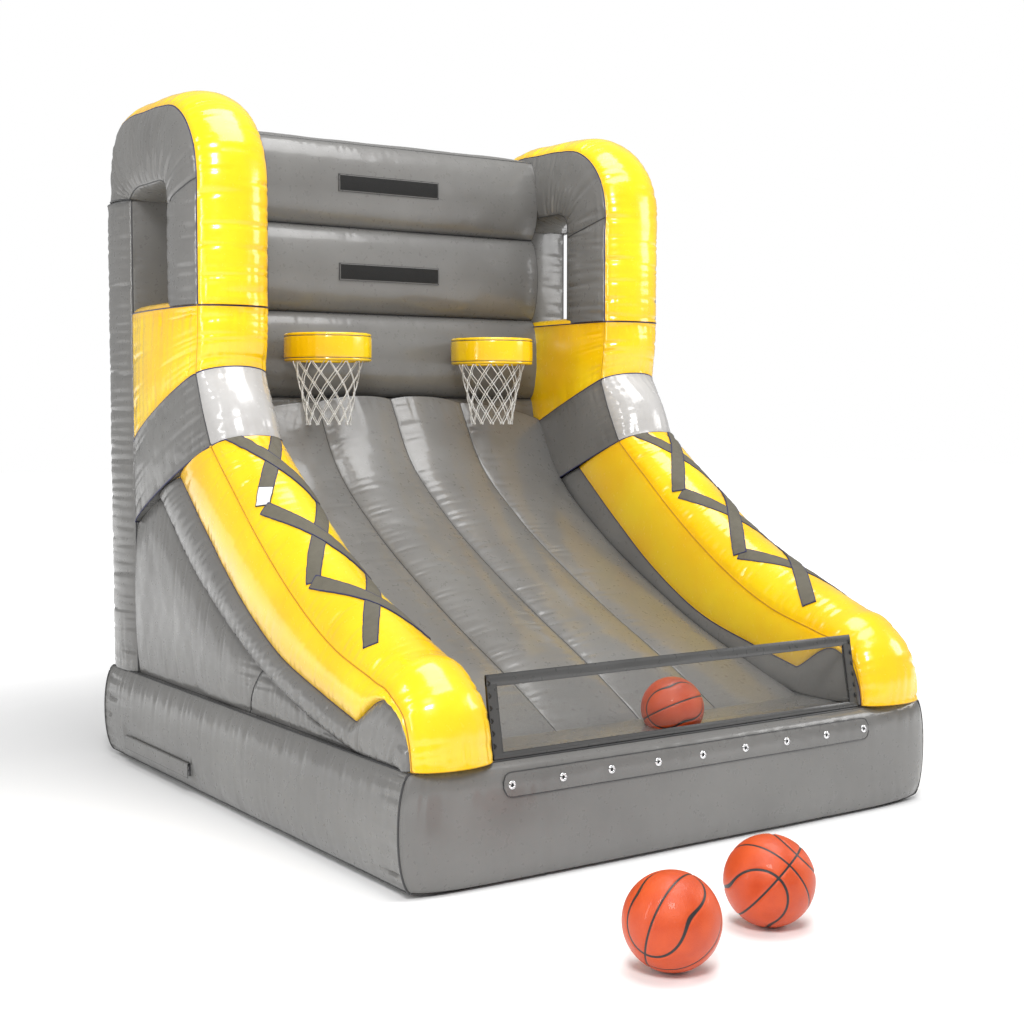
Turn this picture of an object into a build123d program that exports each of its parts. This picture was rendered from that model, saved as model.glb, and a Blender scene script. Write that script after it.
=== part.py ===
"""Inflatable basketball game with two hoops, a sloping return ramp and three balls.

Millimetres, +Z up. The origin is on the floor under the middle of the base, +X is to the
player's right and -Y faces the player.
"""

import os
from build123d import *

os.makedirs("parts", exist_ok=True)

# ---- driving sizes -------------------------------------------------------------------------
base_width = 2090
base_depth = 2350
cushion_height = 240          # floor cushion under the ramp
deck_height = 350             # top of the border that the towers stand on
tower_width = 295
tower_outer = 1030            # outer side faces of both towers
tower_inner = tower_outer - tower_width
tower_front = 215
tower_back = 1130
tower_height = 2490
wall_front = 720              # face of the backboard
wall_back = 1170
wall_height = 2434
skin = 4                      # coated fabric with its welded seams
seat_gap = 0.3                # between loose pieces that rest on each other

# heights of the seams across the towers and the backboard
arch_foot = 2130
slot_sill = 1710
board_seams = (1400, 1735, 2075)
slot_front = 560              # clear slot between the front and the rear post
slot_back = 900
rear_post_outer = 1000
middle_tube_end = 840

# rounding of the inflated chambers
base_round = 60
post_round = 90
arch_front_round = tower_height - arch_foot - 10
arch_back_round = 220
shoulder_round = 45
collar_round = 40
tube_round = 90
slope_round = 70
crown_level = 640             # edges above a line from here, rising backwards, are the crown
crown_rise = 0.55
channel_round = 25

# side outline of a tower below the slot: (y, z)
collar_top_front = (245, 1500)
collar_top_back = (slot_back, 1228)
collar_foot_front = (100, 1262)
collar_foot_back = (slot_back, 925)
collar_foot_fall = (collar_foot_front[1] - collar_foot_back[1]) / (slot_back - collar_foot_front[0])
slope_heel_y = 645
slope_heel = (slope_heel_y, collar_foot_front[1] - collar_foot_fall * (slope_heel_y - collar_foot_front[0]))
slope_top = [collar_foot_front, (-180, 1060), (-541, 852), (-847, 720), (-1070, 612)]
slope_nose = (-1178, 500)
nose_front = -1190
slope_under = [slope_heel, (340, 794), (-158, 533), (-592, 399), (-883, deck_height)]

# ramp outline: (y, z) of the top surface from the back wall to the ball trough
ramp_front = -1090
ramp_top = [(wall_front, board_seams[0]), (577, 1170), (290, 945), (-40, 760), (-300, 635), (-620, 490)]
trough_floor = 302.5          # the ball trough between the ramp and the front lip
trough_back = -970
trough_round = 6
ramp_end = [(-850, 372), (trough_back, trough_floor)]
ramp_under = [(wall_front, 1250), (560, 1010), (300, 805), (-40, 625), (-300, 500), (-640, cushion_height)]
ramp_seams = (-tower_inner, -330, 0, 330, tower_inner)

# hoops
hoop_spacing = 746
hoop_outer = 165
hoop_inner = 137.5
hoop_height = 106
hoop_low = 1532
hoop_edge_round = 8
hoop_tab_width = 150
hoop_tab_depth = 34
rim_wire = 6
net_length = 240
net_foot = 85
net_cord = 3
net_hem = 12                  # how far the net's top reaches up inside the cover

# front ball screen and its fixing strip
screen_width = 2 * (tower_inner - seat_gap)
screen_foot = (-1130, deck_height + 1)
screen_top = (-1086, 592)
screen_hem = 35
hem_thickness = 3
window_thickness = 1
strip_height = 70
strip_thickness = 3
eyelet_count = 9
eyelet_pitch = 177
eyelet_radius = 13
eyelet_bore = 5

# lacing on the slopes
strap_width = 50
cross_centres = (-20, -350, -705)
cross_length = 350
cross_turn = 30
strap_lift = 3.6              # measured upwards, on a slope of about 35 degrees

# balls: (x, y, radius), the first two on the floor and the third in the trough
ball_wall = 3.5
bladder_wall = 1.5
floor_balls = {"ball_1": (-773, -1961, 121), "ball_2": (-347, -1848, 120)}
trough_ball_x = 30
trough_ball_y = -1006
trough_ball_radius = 100
trough_ball_z = trough_floor + trough_ball_radius + seat_gap
valve_radius = 4
valve_sink = 0.5

# deflation opening on the left side of the base
vent_centre_y = 615
vent_centre_z = 92
vent_length = 600
vent_height = 40
tape_thickness = 1.5
teeth_height = 3
teeth_band = 12
slider_length = 30
slider_height = 16
slider_lift = 2
end_stop = 6
pull_length = 14
pull_width = 10
pull_thickness = 2
flap_clearance = 1.5
flap_thickness = 1.5
flap_hem = 7
flap_hinge_radius = 2.5

# air inlet and anchors at the back
inlet_radius = 95
inlet_length = 160
inlet_x = 560
inlet_z = 135
inlet_wall = 3
strap_inset = 60
webbing = 3
webbing_width = 38
buckle_width = 46
buckle_height = 9
anchor_x = 850
anchor_z = 150
anchor_patch = 60
loop_width = 30
ring_width = 56
ring_height = 50
ring_corner = 12
ring_wire = 4

# ---- shared helpers ------------------------------------------------------------------------
SIDES = {"left": -1, "right": 1}


def write(part, name):
    """Label a finished piece and write its STEP file."""
    part.label = name
    export_step(part, f"parts/{name}.step")
    return part


def tower_start(side):
    """X of the low-X face of a tower."""
    return tower_inner if side > 0 else -tower_outer


def block(x_range, y_range, z_range):
    """Centre and size of a box between three ranges."""
    centre = tuple((low + high) / 2 for low, high in (x_range, y_range, z_range))
    size = tuple(high - low for low, high in (x_range, y_range, z_range))
    return centre, size


def cushion(x_range, y_range, z_range, axis, radius):
    """A hollow box-shaped chamber with the edges along one axis rounded."""
    centre, size = block(x_range, y_range, z_range)
    with BuildPart() as chamber:
        with Locations(centre):
            Box(*size)
        fillet(chamber.edges().filter_by(axis), radius)
        offset(amount=-skin, kind=Kind.INTERSECTION, mode=Mode.SUBTRACT)
    return chamber.part


def on_side_faces(edges, start):
    """Edges that lie in the two side faces of a tower piece."""
    faces = (start, start + tower_width)
    return edges.filter_by(lambda e: any(abs(e.center().X - x) < 0.01 for x in faces))


# ---- base ----------------------------------------------------------------------------------
half_width = base_width / 2
half_depth = base_depth / 2

with BuildPart() as base_cushion:
    with Locations((0, 0, cushion_height / 2)):
        Box(base_width, base_depth, cushion_height)
    fillet(base_cushion.edges().filter_by(Axis.Z), base_round)
    fillet(base_cushion.faces().sort_by(Axis.Z)[0].edges(), base_round)
    offset(amount=-skin, kind=Kind.INTERSECTION, mode=Mode.SUBTRACT)
    with Locations(Location((inlet_x, half_depth - skin / 2, inlet_z), (90, 0, 0))):
        Cylinder(inlet_radius + inlet_wall + seat_gap, 2 * skin, mode=Mode.SUBTRACT)
write(base_cushion.part, "base_cushion")

# baffles that hold the floor cushion flat, welded between its top and bottom skins
baffle_count = 5
baffle_length = base_depth - 4 * base_round
with BuildPart() as base_baffles:
    with Locations((0, 0, cushion_height / 2)):
        with GridLocations((base_width - 4 * base_round) / (baffle_count - 1), 1, baffle_count, 1):
            Box(skin, baffle_length, cushion_height - 2 * skin)
write(base_baffles.part, "base_baffles")

lip_centre, lip_size = block((-tower_inner, tower_inner), (-half_depth, ramp_front), (cushion_height, deck_height))
with BuildPart() as front_lip:
    with Locations(lip_centre):
        Box(*lip_size)
    fillet(front_lip.edges().filter_by(Axis.X).sort_by(Axis.Z)[-2:], channel_round)
    offset(amount=-skin, kind=Kind.INTERSECTION, mode=Mode.SUBTRACT)
    trough_y = (ramp_front + seat_gap, trough_back)
    add(cushion((-tower_inner, tower_inner), trough_y, (cushion_height, trough_floor), Axis.X, trough_round))
write(front_lip.part, "front_lip")


def side_rail(side):
    """Border tube under one tower."""
    x_range = sorted((side * tower_inner, side * half_width))
    middle, extent = block(x_range, (-half_depth, half_depth), (cushion_height, deck_height))
    with BuildPart() as rail:
        with Locations(middle):
            Box(*extent)
        outer_corners = rail.edges().filter_by(Axis.Z).sort_by(Axis.X)
        fillet(outer_corners[-2:] if side > 0 else outer_corners[:2], base_round)
        offset(amount=-skin, kind=Kind.INTERSECTION, mode=Mode.SUBTRACT)
    return rail.part


# ---- ramp ----------------------------------------------------------------------------------
def ramp_channel(x_low, x_high):
    """One lengthwise air channel of the return ramp."""
    with BuildPart() as channel:
        with BuildSketch(Plane.YZ.offset(x_low)):
            with BuildLine():
                Spline(*ramp_top, *ramp_end)
                Polyline(ramp_end[-1], (trough_back, cushion_height), ramp_under[-1])
                Spline(*reversed(ramp_under))
                Line(ramp_under[0], ramp_top[0])
            make_face()
        extrude(amount=x_high - x_low)
        long_edges = channel.edges().filter_by(GeomType.BSPLINE)
        top_edges = long_edges.sort_by(lambda e: -e.center().Z)[:2]
        fillet(top_edges, channel_round)
    return channel.part


for number, (x_low, x_high) in enumerate(zip(ramp_seams, ramp_seams[1:]), start=1):
    write(ramp_channel(x_low, x_high), f"ramp_channel_{number}")

# ---- back wall and backboard ---------------------------------------------------------------
wall_x = (-tower_inner, tower_inner)
wall_y = (wall_front, wall_back)
seam_1, seam_2, seam_3 = board_seams
write(cushion(wall_x, wall_y, (cushion_height, seam_1), Axis.X, tube_round / 2), "rear_wall_lower")
write(cushion(wall_x, wall_y, (seam_1, seam_2), Axis.X, tube_round), "board_tube_lower")
write(cushion(wall_x, wall_y, (seam_3, wall_height), Axis.X, tube_round), "board_tube_top")

middle_centre, middle_size = block(wall_x, wall_y, (seam_2, seam_3))
ends_centre, ends_size = block((-middle_tube_end, middle_tube_end), (wall_front, slot_back), (seam_2, seam_3))
with BuildPart() as board_tube_middle:
    with Locations(middle_centre):
        Box(*middle_size)
    with Locations(ends_centre):
        Box(*ends_size)
    tube_edges = board_tube_middle.edges().filter_by(Axis.X)
    fillet(tube_edges.filter_by(lambda e: abs(e.center().Y - wall_front) < 0.01), tube_round)
    offset(amount=-skin, kind=Kind.INTERSECTION, mode=Mode.SUBTRACT)
write(board_tube_middle.part, "board_tube_middle")

# two hook-and-loop rectangles for score cards
patch_width = 446
patch_height = 57
patch_thickness = 2
patch_heights = (1893, 2239)
with BuildPart() as board_patches:
    with Locations(*[(0, wall_front - patch_thickness / 2, z) for z in patch_heights]):
        Box(patch_width, patch_thickness, patch_height)
write(board_patches.part, "board_patches")


# ---- towers --------------------------------------------------------------------------------
def rear_post(side):
    """Upright behind the slot."""
    x_range = sorted((side * tower_inner, side * rear_post_outer))
    middle, extent = block(x_range, (slot_back, wall_back), (deck_height, arch_foot))
    with BuildPart() as post:
        with Locations(middle):
            Box(*extent)
        corners = post.edges().filter_by(Axis.Z).sort_by(Axis.X)
        fillet(corners[-2:] if side > 0 else corners[:2], post_round / 2)
        offset(amount=-skin, kind=Kind.INTERSECTION, mode=Mode.SUBTRACT)
    return post.part


def front_post(side):
    """Upright in front of the slot."""
    start = tower_start(side)
    return cushion(
        (start, start + tower_width), (tower_front, slot_front), (slot_sill, arch_foot), Axis.Z, post_round
    )


def arch(side):
    """Rounded cap that joins the front and rear posts over the slot."""
    start = tower_start(side)
    with BuildPart() as cap:
        with BuildSketch(Plane.YZ.offset(start)):
            with BuildLine():
                Polyline(
                    (tower_front, arch_foot),
                    (tower_front, tower_height),
                    (tower_back, tower_height),
                    (tower_back, arch_foot),
                    close=True,
                )
            make_face()
        extrude(amount=tower_width)
        top_corners = cap.edges().filter_by(Axis.X).sort_by(Axis.Z)[-2:].sort_by(Axis.Y)
        fillet(top_corners[0], arch_front_round)
        fillet(top_corners[1], arch_back_round)
        rim = on_side_faces(cap.edges(), start).filter_by(lambda e: e.center().Z > arch_foot + 1)
        fillet(rim, post_round)
        offset(amount=-skin, kind=Kind.INTERSECTION, mode=Mode.SUBTRACT)
    return cap.part


def tower_slice(side, outline, radius, front_edge):
    """A hollow chamber with a flat side outline; front_edge is the (y, z) middle of its front."""
    start = tower_start(side)
    with BuildPart() as chamber:
        with BuildSketch(Plane.YZ.offset(start)):
            with BuildLine():
                Polyline(*outline, close=True)
            make_face()
        extrude(amount=tower_width)
        target = Vector(0, *front_edge)
        ends = on_side_faces(chamber.edges(), start)
        fillet(ends.sort_by(lambda e: (Vector(0, e.center().Y, e.center().Z) - target).length)[:2], radius)
        offset(amount=-skin, kind=Kind.INTERSECTION, mode=Mode.SUBTRACT)
    return chamber.part


def middle_of(point_a, point_b):
    return tuple((a + b) / 2 for a, b in zip(point_a, point_b))


shoulder_outline = [(tower_front, slot_sill), collar_top_front, collar_top_back, (slot_back, slot_sill)]
collar_outline = [collar_top_front, collar_foot_front, collar_foot_back, collar_top_back]


def slope_bolster(side, swell=0):
    """Curved rail beside the ramp, from the collar down to the nose, grown by swell."""
    start = tower_start(side) - swell
    with BuildPart() as bolster:
        with BuildSketch(Plane.YZ.offset(start)):
            with BuildLine():
                Spline(*slope_top)
                ThreePointArc(slope_top[-1], slope_nose, (nose_front, deck_height))
                Line((nose_front, deck_height), slope_under[-1])
                Spline(*reversed(slope_under))
                Line(slope_under[0], slope_top[0])
            make_face()
            if swell:
                offset(amount=swell, kind=Kind.INTERSECTION)
        extrude(amount=tower_width + 2 * swell)
        crown = bolster.edges().filter_by(lambda e: e.center().Z - crown_rise * e.center().Y > crown_level)
        fillet(crown.filter_by(Axis.X, reverse=True), slope_round + swell)
    return bolster.part


def side_gusset(side):
    """Triangular cushion between the slope bolster, the rear post and the base."""
    with BuildPart() as gusset:
        with BuildSketch(Plane.YZ.offset(tower_start(side))):
            with BuildLine():
                Spline(*slope_under)
                Polyline(slope_under[-1], (slot_back, deck_height), collar_foot_back, slope_heel)
            make_face()
        extrude(amount=tower_width)
    return gusset.part


def cross_straps(side):
    """Three decorative crosses of webbing welded over the crown of a slope bolster."""
    start = tower_start(side)
    crown_x = start + tower_width / 2
    flat_width = tower_width - 2 * slope_round
    with BuildPart() as straps:
        with BuildSketch(Plane.YZ.offset(crown_x - flat_width / 2)):
            with BuildLine():
                Spline(*slope_top)
                Spline(*[(y, z + strap_lift) for y, z in slope_top])
                Line(slope_top[0], (slope_top[0][0], slope_top[0][1] + strap_lift))
                Line(slope_top[-1], (slope_top[-1][0], slope_top[-1][1] + strap_lift))
            make_face()
        extrude(amount=flat_width)
        with BuildSketch(Plane.XY.offset(deck_height)):
            with Locations(*[(crown_x, y) for y in cross_centres]):
                for turn in (-cross_turn, cross_turn):
                    Rectangle(strap_width, cross_length, rotation=turn)
        extrude(amount=tower_height - deck_height, mode=Mode.INTERSECT)
    return straps.part


for side_name, side in SIDES.items():
    write(side_rail(side), f"{side_name}_side_rail")
    write(rear_post(side), f"{side_name}_rear_post")
    write(front_post(side), f"{side_name}_front_post")
    write(arch(side), f"{side_name}_arch")
    shoulder_front = middle_of(shoulder_outline[0], shoulder_outline[1])
    write(tower_slice(side, shoulder_outline, shoulder_round, shoulder_front), f"{side_name}_shoulder")
    collar_front = middle_of(collar_outline[0], collar_outline[1])
    write(tower_slice(side, collar_outline, collar_round, collar_front), f"{side_name}_collar")
    write(slope_bolster(side), f"{side_name}_slope_bolster")
    write(side_gusset(side), f"{side_name}_side_gusset")
    write(cross_straps(side), f"{side_name}_cross_straps")

# ---- hoops ---------------------------------------------------------------------------------
hoop_y = wall_front - hoop_tab_depth / 4 - hoop_outer
hoop_top = hoop_low + hoop_height
rim_radius = (hoop_outer + hoop_inner) / 2
rim_z = hoop_top - skin - rim_wire


def hoop_cover(x):
    """Padded vinyl band around the steel rim, with a channel that holds the rim."""
    with BuildPart() as cover:
        with BuildSketch(Plane.XY.offset(hoop_low)):
            with Locations((x, hoop_y)):
                Circle(hoop_outer)
                Circle(hoop_inner, mode=Mode.SUBTRACT)
        extrude(amount=hoop_height)
        fillet(cover.edges(), hoop_edge_round)
        with BuildSketch(Plane.XZ.offset(-hoop_y)):
            with Locations((x + rim_radius, rim_z)):
                Circle(rim_wire + seat_gap)
        revolve(axis=Axis((x, hoop_y, 0), (0, 0, 1)), mode=Mode.SUBTRACT)
    return cover.part


def hoop_rim(x):
    """Round steel rim inside the cover."""
    with BuildPart() as rim:
        with BuildSketch(Plane.XZ.offset(-hoop_y)):
            with Locations((x + rim_radius, rim_z)):
                Circle(rim_wire)
        revolve(axis=Axis((x, hoop_y, 0), (0, 0, 1)))
    return rim.part


def hoop_tab(x):
    """Welded vinyl saddle that joins the hoop to the backboard."""
    middle, extent = block(
        (x - hoop_tab_width / 2, x + hoop_tab_width / 2),
        (wall_front - hoop_tab_depth, wall_front),
        (hoop_low + hoop_edge_round, hoop_top - hoop_edge_round),
    )
    with BuildPart() as tab:
        with Locations(middle):
            Box(*extent)
        with Locations((x, hoop_y, middle[2])):
            Cylinder(hoop_outer, 2 * hoop_height, mode=Mode.SUBTRACT)
    return tab.part


def net(x):
    """Tapered tube around the knotted cord net that hangs from the cover's lower hem."""
    with BuildPart() as funnel:
        with BuildSketch(Plane.XZ.offset(-hoop_y)):
            with BuildLine():
                Polyline(
                    (x + hoop_inner - seat_gap, hoop_low + net_hem),
                    (x + net_foot + net_cord, hoop_low - net_length),
                    (x + net_foot, hoop_low - net_length),
                    (x + hoop_inner - seat_gap - net_cord, hoop_low + net_hem),
                    close=True,
                )
            make_face()
        revolve(axis=Axis((x, hoop_y, 0), (0, 0, 1)))
    return funnel.part


for side_name, side in SIDES.items():
    hoop_x = side * hoop_spacing / 2
    write(hoop_cover(hoop_x), f"{side_name}_hoop_cover")
    write(hoop_rim(hoop_x), f"{side_name}_hoop_rim")
    write(hoop_tab(hoop_x), f"{side_name}_hoop_tab")
    write(net(hoop_x), f"{side_name}_net")

# ---- front ball screen ---------------------------------------------------------------------
screen_rise = Vector(0, screen_top[0] - screen_foot[0], screen_top[1] - screen_foot[1])
screen_height = screen_rise.length
screen_plane = Plane(
    origin=(0, screen_foot[0], screen_foot[1]), x_dir=(1, 0, 0), z_dir=Vector(1, 0, 0).cross(screen_rise)
)


def screen_panel(thickness, margin, hole_margin=0):
    """A flat panel standing on the screen's foot line, with an optional window cut in it."""
    with BuildPart() as panel:
        with BuildSketch(screen_plane):
            with Locations((0, screen_height / 2)):
                Rectangle(screen_width - 2 * margin, screen_height - 2 * margin)
                if hole_margin:
                    Rectangle(
                        screen_width - 2 * hole_margin, screen_height - 2 * hole_margin, mode=Mode.SUBTRACT
                    )
        extrude(amount=thickness / 2, both=True)
    return panel.part


write(screen_panel(hem_thickness, 0, screen_hem), "screen_hem")
write(screen_panel(window_thickness, screen_hem), "screen_window")

strip_y = -half_depth - strip_thickness / 2
strip_z = deck_height - channel_round - strip_height / 2
eyelet_x = [eyelet_pitch * (i - (eyelet_count - 1) / 2) for i in range(eyelet_count)]
with BuildPart() as grommet_strip:
    with Locations((0, strip_y, strip_z)):
        Box(screen_width, strip_thickness, strip_height)
    with Locations(*[Location((x, strip_y, strip_z), (90, 0, 0)) for x in eyelet_x]):
        Cylinder(eyelet_bore + 1, 2 * strip_thickness, mode=Mode.SUBTRACT)
write(grommet_strip.part, "grommet_strip")

with BuildPart() as grommets:
    face_y = strip_y - strip_thickness / 2
    with Locations(*[Location((x, face_y - 1, strip_z), (90, 0, 0)) for x in eyelet_x]):
        Cylinder(eyelet_radius, 2)
        Cylinder(eyelet_bore, 2, mode=Mode.SUBTRACT)
    with Locations(*[Location((x, strip_y, strip_z), (90, 0, 0)) for x in eyelet_x]):
        Cylinder(eyelet_bore + 1, strip_thickness)
        Cylinder(eyelet_bore, strip_thickness, mode=Mode.SUBTRACT)
write(grommets.part, "grommets")


# ---- balls ---------------------------------------------------------------------------------
def ball(name, x, y, z, radius):
    """Panelled rubber cover, the bladder inside it and the needle valve through the cover."""
    with BuildPart() as cover:
        with Locations((x, y, z)):
            Sphere(radius)
            Sphere(radius - ball_wall, mode=Mode.SUBTRACT)
        with Locations((x, y, z + radius - ball_wall / 2)):
            Cylinder(valve_radius, 2 * ball_wall, mode=Mode.SUBTRACT)
    write(cover.part, f"{name}_cover")
    with BuildPart() as bladder:
        with Locations((x, y, z)):
            Sphere(radius - ball_wall - seat_gap)
            Sphere(radius - ball_wall - seat_gap - bladder_wall, mode=Mode.SUBTRACT)
    write(bladder.part, f"{name}_bladder")
    with BuildPart() as valve:
        with Locations((x, y, z + radius - ball_wall / 2 - valve_sink)):
            Cylinder(valve_radius, ball_wall - 2 * valve_sink)
    write(valve.part, f"{name}_valve")


for ball_name, (ball_x, ball_y, ball_radius) in floor_balls.items():
    ball(ball_name, ball_x, ball_y, ball_radius, ball_radius)
ball("ball_3", trough_ball_x, trough_ball_y, trough_ball_z, trough_ball_radius)

# ---- deflation opening on the left side ----------------------------------------------------
tape_x = -half_width - tape_thickness
teeth_x = tape_x - teeth_height
vent_y = (vent_centre_y - vent_length / 2, vent_centre_y + vent_length / 2)

with BuildPart() as vent_tape:
    tape_centre, tape_size = block(
        (tape_x, -half_width), vent_y, (vent_centre_z - vent_height / 2, vent_centre_z + vent_height / 2)
    )
    with Locations(tape_centre):
        Box(*tape_size)
    teeth_centre, teeth_size = block(
        (teeth_x, tape_x), vent_y, (vent_centre_z - teeth_band / 2, vent_centre_z + teeth_band / 2)
    )
    with Locations(teeth_centre):
        Box(*teeth_size)
write(vent_tape.part, "vent_tape")

slider_x = (teeth_x - slider_lift, tape_x - seat_gap)
slider_y = (vent_y[0] + end_stop, vent_y[0] + end_stop + slider_length)
with BuildPart() as vent_slider:
    slider_centre, slider_size = block(
        slider_x,
        slider_y,
        (vent_centre_z - slider_height, vent_centre_z + slider_height),
    )
    with Locations(slider_centre):
        Box(*slider_size)
    channel_centre, channel_size = block(
        (teeth_x - seat_gap, slider_x[1]),
        slider_y,
        (vent_centre_z - teeth_band / 2 - seat_gap, vent_centre_z + teeth_band / 2 + seat_gap),
    )
    with Locations(channel_centre):
        Box(*channel_size, mode=Mode.SUBTRACT)
write(vent_slider.part, "vent_slider")

pull_hinge = (slider_x[0] - pull_thickness / 2 - seat_gap, slider_y[1] - pull_width / 2, vent_centre_z)
with BuildPart() as vent_pull:
    pull_centre, pull_size = block(
        (pull_hinge[0] - pull_thickness / 2, pull_hinge[0] + pull_thickness / 2),
        (pull_hinge[1] - pull_width / 2, pull_hinge[1] + pull_width / 2),
        (vent_centre_z - pull_length, vent_centre_z + pull_width / 4),
    )
    with Locations(pull_centre):
        Box(*pull_size)
write(vent_pull.part, "vent_pull")

flap_x = pull_hinge[0] - pull_thickness / 2 - flap_clearance
flap_z = (vent_centre_z - vent_height / 2 - flap_hem, vent_centre_z + vent_height / 2 + flap_hem)
flap_hinge = (-half_width - flap_hinge_radius - seat_gap, flap_z[1] - flap_hinge_radius)
with BuildPart() as vent_flap:
    flap_centre, flap_size = block((flap_x - flap_thickness, flap_x), vent_y, flap_z)
    with Locations(flap_centre):
        Box(*flap_size)
    root_centre, root_size = block((flap_x, flap_hinge[0]), vent_y, (flap_z[1] - flap_thickness, flap_z[1]))
    with Locations(root_centre):
        Box(*root_size)
    with Locations(Location((flap_hinge[0], vent_centre_y, flap_hinge[1]), (90, 0, 0))):
        Cylinder(flap_hinge_radius, vent_length)
write(vent_flap.part, "vent_flap")

# ---- air inlet and anchor rings at the back ------------------------------------------------
sleeve_length = inlet_length + skin
with BuildPart() as inlet_sleeve:
    with Locations(Location((inlet_x, half_depth - skin + sleeve_length / 2, inlet_z), (90, 0, 0))):
        Cylinder(inlet_radius + inlet_wall, sleeve_length)
        Cylinder(inlet_radius, sleeve_length, mode=Mode.SUBTRACT)
write(inlet_sleeve.part, "inlet_sleeve")

with BuildPart() as inlet_strap:
    strap_middle = half_depth + inlet_length - strap_inset
    with Locations(Location((inlet_x, strap_middle, inlet_z), (90, 0, 0))):
        Cylinder(inlet_radius + inlet_wall + webbing, webbing_width)
        Cylinder(inlet_radius + inlet_wall, webbing_width, mode=Mode.SUBTRACT)
    with Locations((inlet_x, strap_middle, inlet_z + inlet_radius + inlet_wall + webbing + buckle_height / 2)):
        Box(buckle_width, webbing_width, buckle_height)
write(inlet_strap.part, "inlet_strap")

loop_radius = ring_wire + seat_gap + webbing
ring_axis_y = half_depth + webbing + seat_gap + ring_wire


def at_anchors(y, z):
    """The same place at both anchors."""
    return [(-anchor_x, y, z), (anchor_x, y, z)]


with BuildPart() as anchor_loops:
    with Locations(*at_anchors(half_depth + webbing / 2, anchor_z)):
        Box(anchor_patch, webbing, anchor_patch)
    along_x = (0, 90, 0)
    with Locations(*[Location(place, along_x) for place in at_anchors(ring_axis_y, anchor_z)]):
        Cylinder(loop_radius, loop_width)
    with Locations(*[Location(place, along_x) for place in at_anchors(ring_axis_y, anchor_z)]):
        Cylinder(ring_wire + seat_gap, 2 * loop_width, mode=Mode.SUBTRACT)
    with Locations(*at_anchors(half_depth - loop_radius, anchor_z)):
        Box(2 * anchor_patch, 2 * loop_radius, 2 * anchor_patch, mode=Mode.SUBTRACT)
write(anchor_loops.part, "anchor_loops")


def anchor_ring(x):
    """Rectangular wire ring that hangs from an anchor loop by its upper bar."""
    with BuildSketch(Plane.XZ.offset(-ring_axis_y)) as outline:
        with Locations((x, anchor_z - ring_height / 2)):
            RectangleRounded(ring_width, ring_height, ring_corner)
    path = outline.sketch.face().outer_wire()
    with BuildPart() as ring:
        with BuildSketch(Plane(origin=path @ 0, z_dir=path % 0)):
            Circle(ring_wire)
        sweep(path=path)
    return ring.part


for side_name, side in SIDES.items():
    write(anchor_ring(side * anchor_x), f"{side_name}_anchor_ring")
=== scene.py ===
import math

import bmesh
import bpy
import numpy as np
from mathutils import Matrix, Vector
from mathutils.bvhtree import BVHTree


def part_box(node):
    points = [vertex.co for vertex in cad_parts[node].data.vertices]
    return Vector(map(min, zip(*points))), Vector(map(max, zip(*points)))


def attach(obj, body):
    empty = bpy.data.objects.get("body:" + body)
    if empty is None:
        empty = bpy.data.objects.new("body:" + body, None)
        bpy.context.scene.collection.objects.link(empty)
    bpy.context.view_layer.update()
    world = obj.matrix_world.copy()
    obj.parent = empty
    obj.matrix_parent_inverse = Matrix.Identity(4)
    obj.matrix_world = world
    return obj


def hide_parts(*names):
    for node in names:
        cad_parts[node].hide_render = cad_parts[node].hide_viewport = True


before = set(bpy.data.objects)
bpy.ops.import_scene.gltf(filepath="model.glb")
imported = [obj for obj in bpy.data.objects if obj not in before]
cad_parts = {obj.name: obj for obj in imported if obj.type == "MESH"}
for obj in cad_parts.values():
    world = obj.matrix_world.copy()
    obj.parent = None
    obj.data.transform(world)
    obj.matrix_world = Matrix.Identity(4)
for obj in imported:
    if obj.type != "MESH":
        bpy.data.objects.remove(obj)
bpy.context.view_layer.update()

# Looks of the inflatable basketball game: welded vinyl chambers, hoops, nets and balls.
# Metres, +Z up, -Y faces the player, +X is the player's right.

BODY = "inflatable"
SIDES = {"left": -1, "right": 1}


# ---- materials -----------------------------------------------------------------------------
def material(name, colour, roughness, **settings):
    """A Principled material with its shader node, ready for procedural detail."""
    made = bpy.data.materials.new(name)
    made.use_nodes = True
    shader = made.node_tree.nodes["Principled BSDF"]
    shader.inputs["Base Color"].default_value = (*colour, 1)
    shader.inputs["Roughness"].default_value = roughness
    for socket, value in settings.items():
        shader.inputs[socket.replace("_", " ")].default_value = value
    return made, made.node_tree, shader


def add(tree, kind, **settings):
    """A new node; capitalised settings are input sockets, the rest are properties."""
    node = tree.nodes.new(kind)
    for key, value in settings.items():
        if key[0].isupper():
            node.inputs[key.replace("_", " ")].default_value = value
        else:
            setattr(node, key, value)
    return node


def noise(tree, place, scale, detail=3.0, roughness=0.55):
    made = add(tree, "ShaderNodeTexNoise", Scale=scale, Detail=detail, Roughness=roughness)
    tree.links.new(place, made.inputs["Vector"])
    return made.outputs["Fac"]


def spread_to(tree, value, low_in, high_in, low_out, high_out, smooth=False):
    """A value mapped from one range to another."""
    made = add(tree, "ShaderNodeMapRange", interpolation_type="SMOOTHSTEP" if smooth else "LINEAR")
    for index, number in enumerate((low_in, high_in, low_out, high_out), start=1):
        made.inputs[index].default_value = number
    tree.links.new(value, made.inputs[0])
    return made.outputs[0]


def maths(tree, operation, first, second=None):
    made = add(tree, "ShaderNodeMath", operation=operation)
    for index, value in enumerate((first, second)):
        if value is None:
            continue
        if isinstance(value, (int, float)):
            made.inputs[index].default_value = value
        else:
            tree.links.new(value, made.inputs[index])
    return made.outputs[0]


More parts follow.
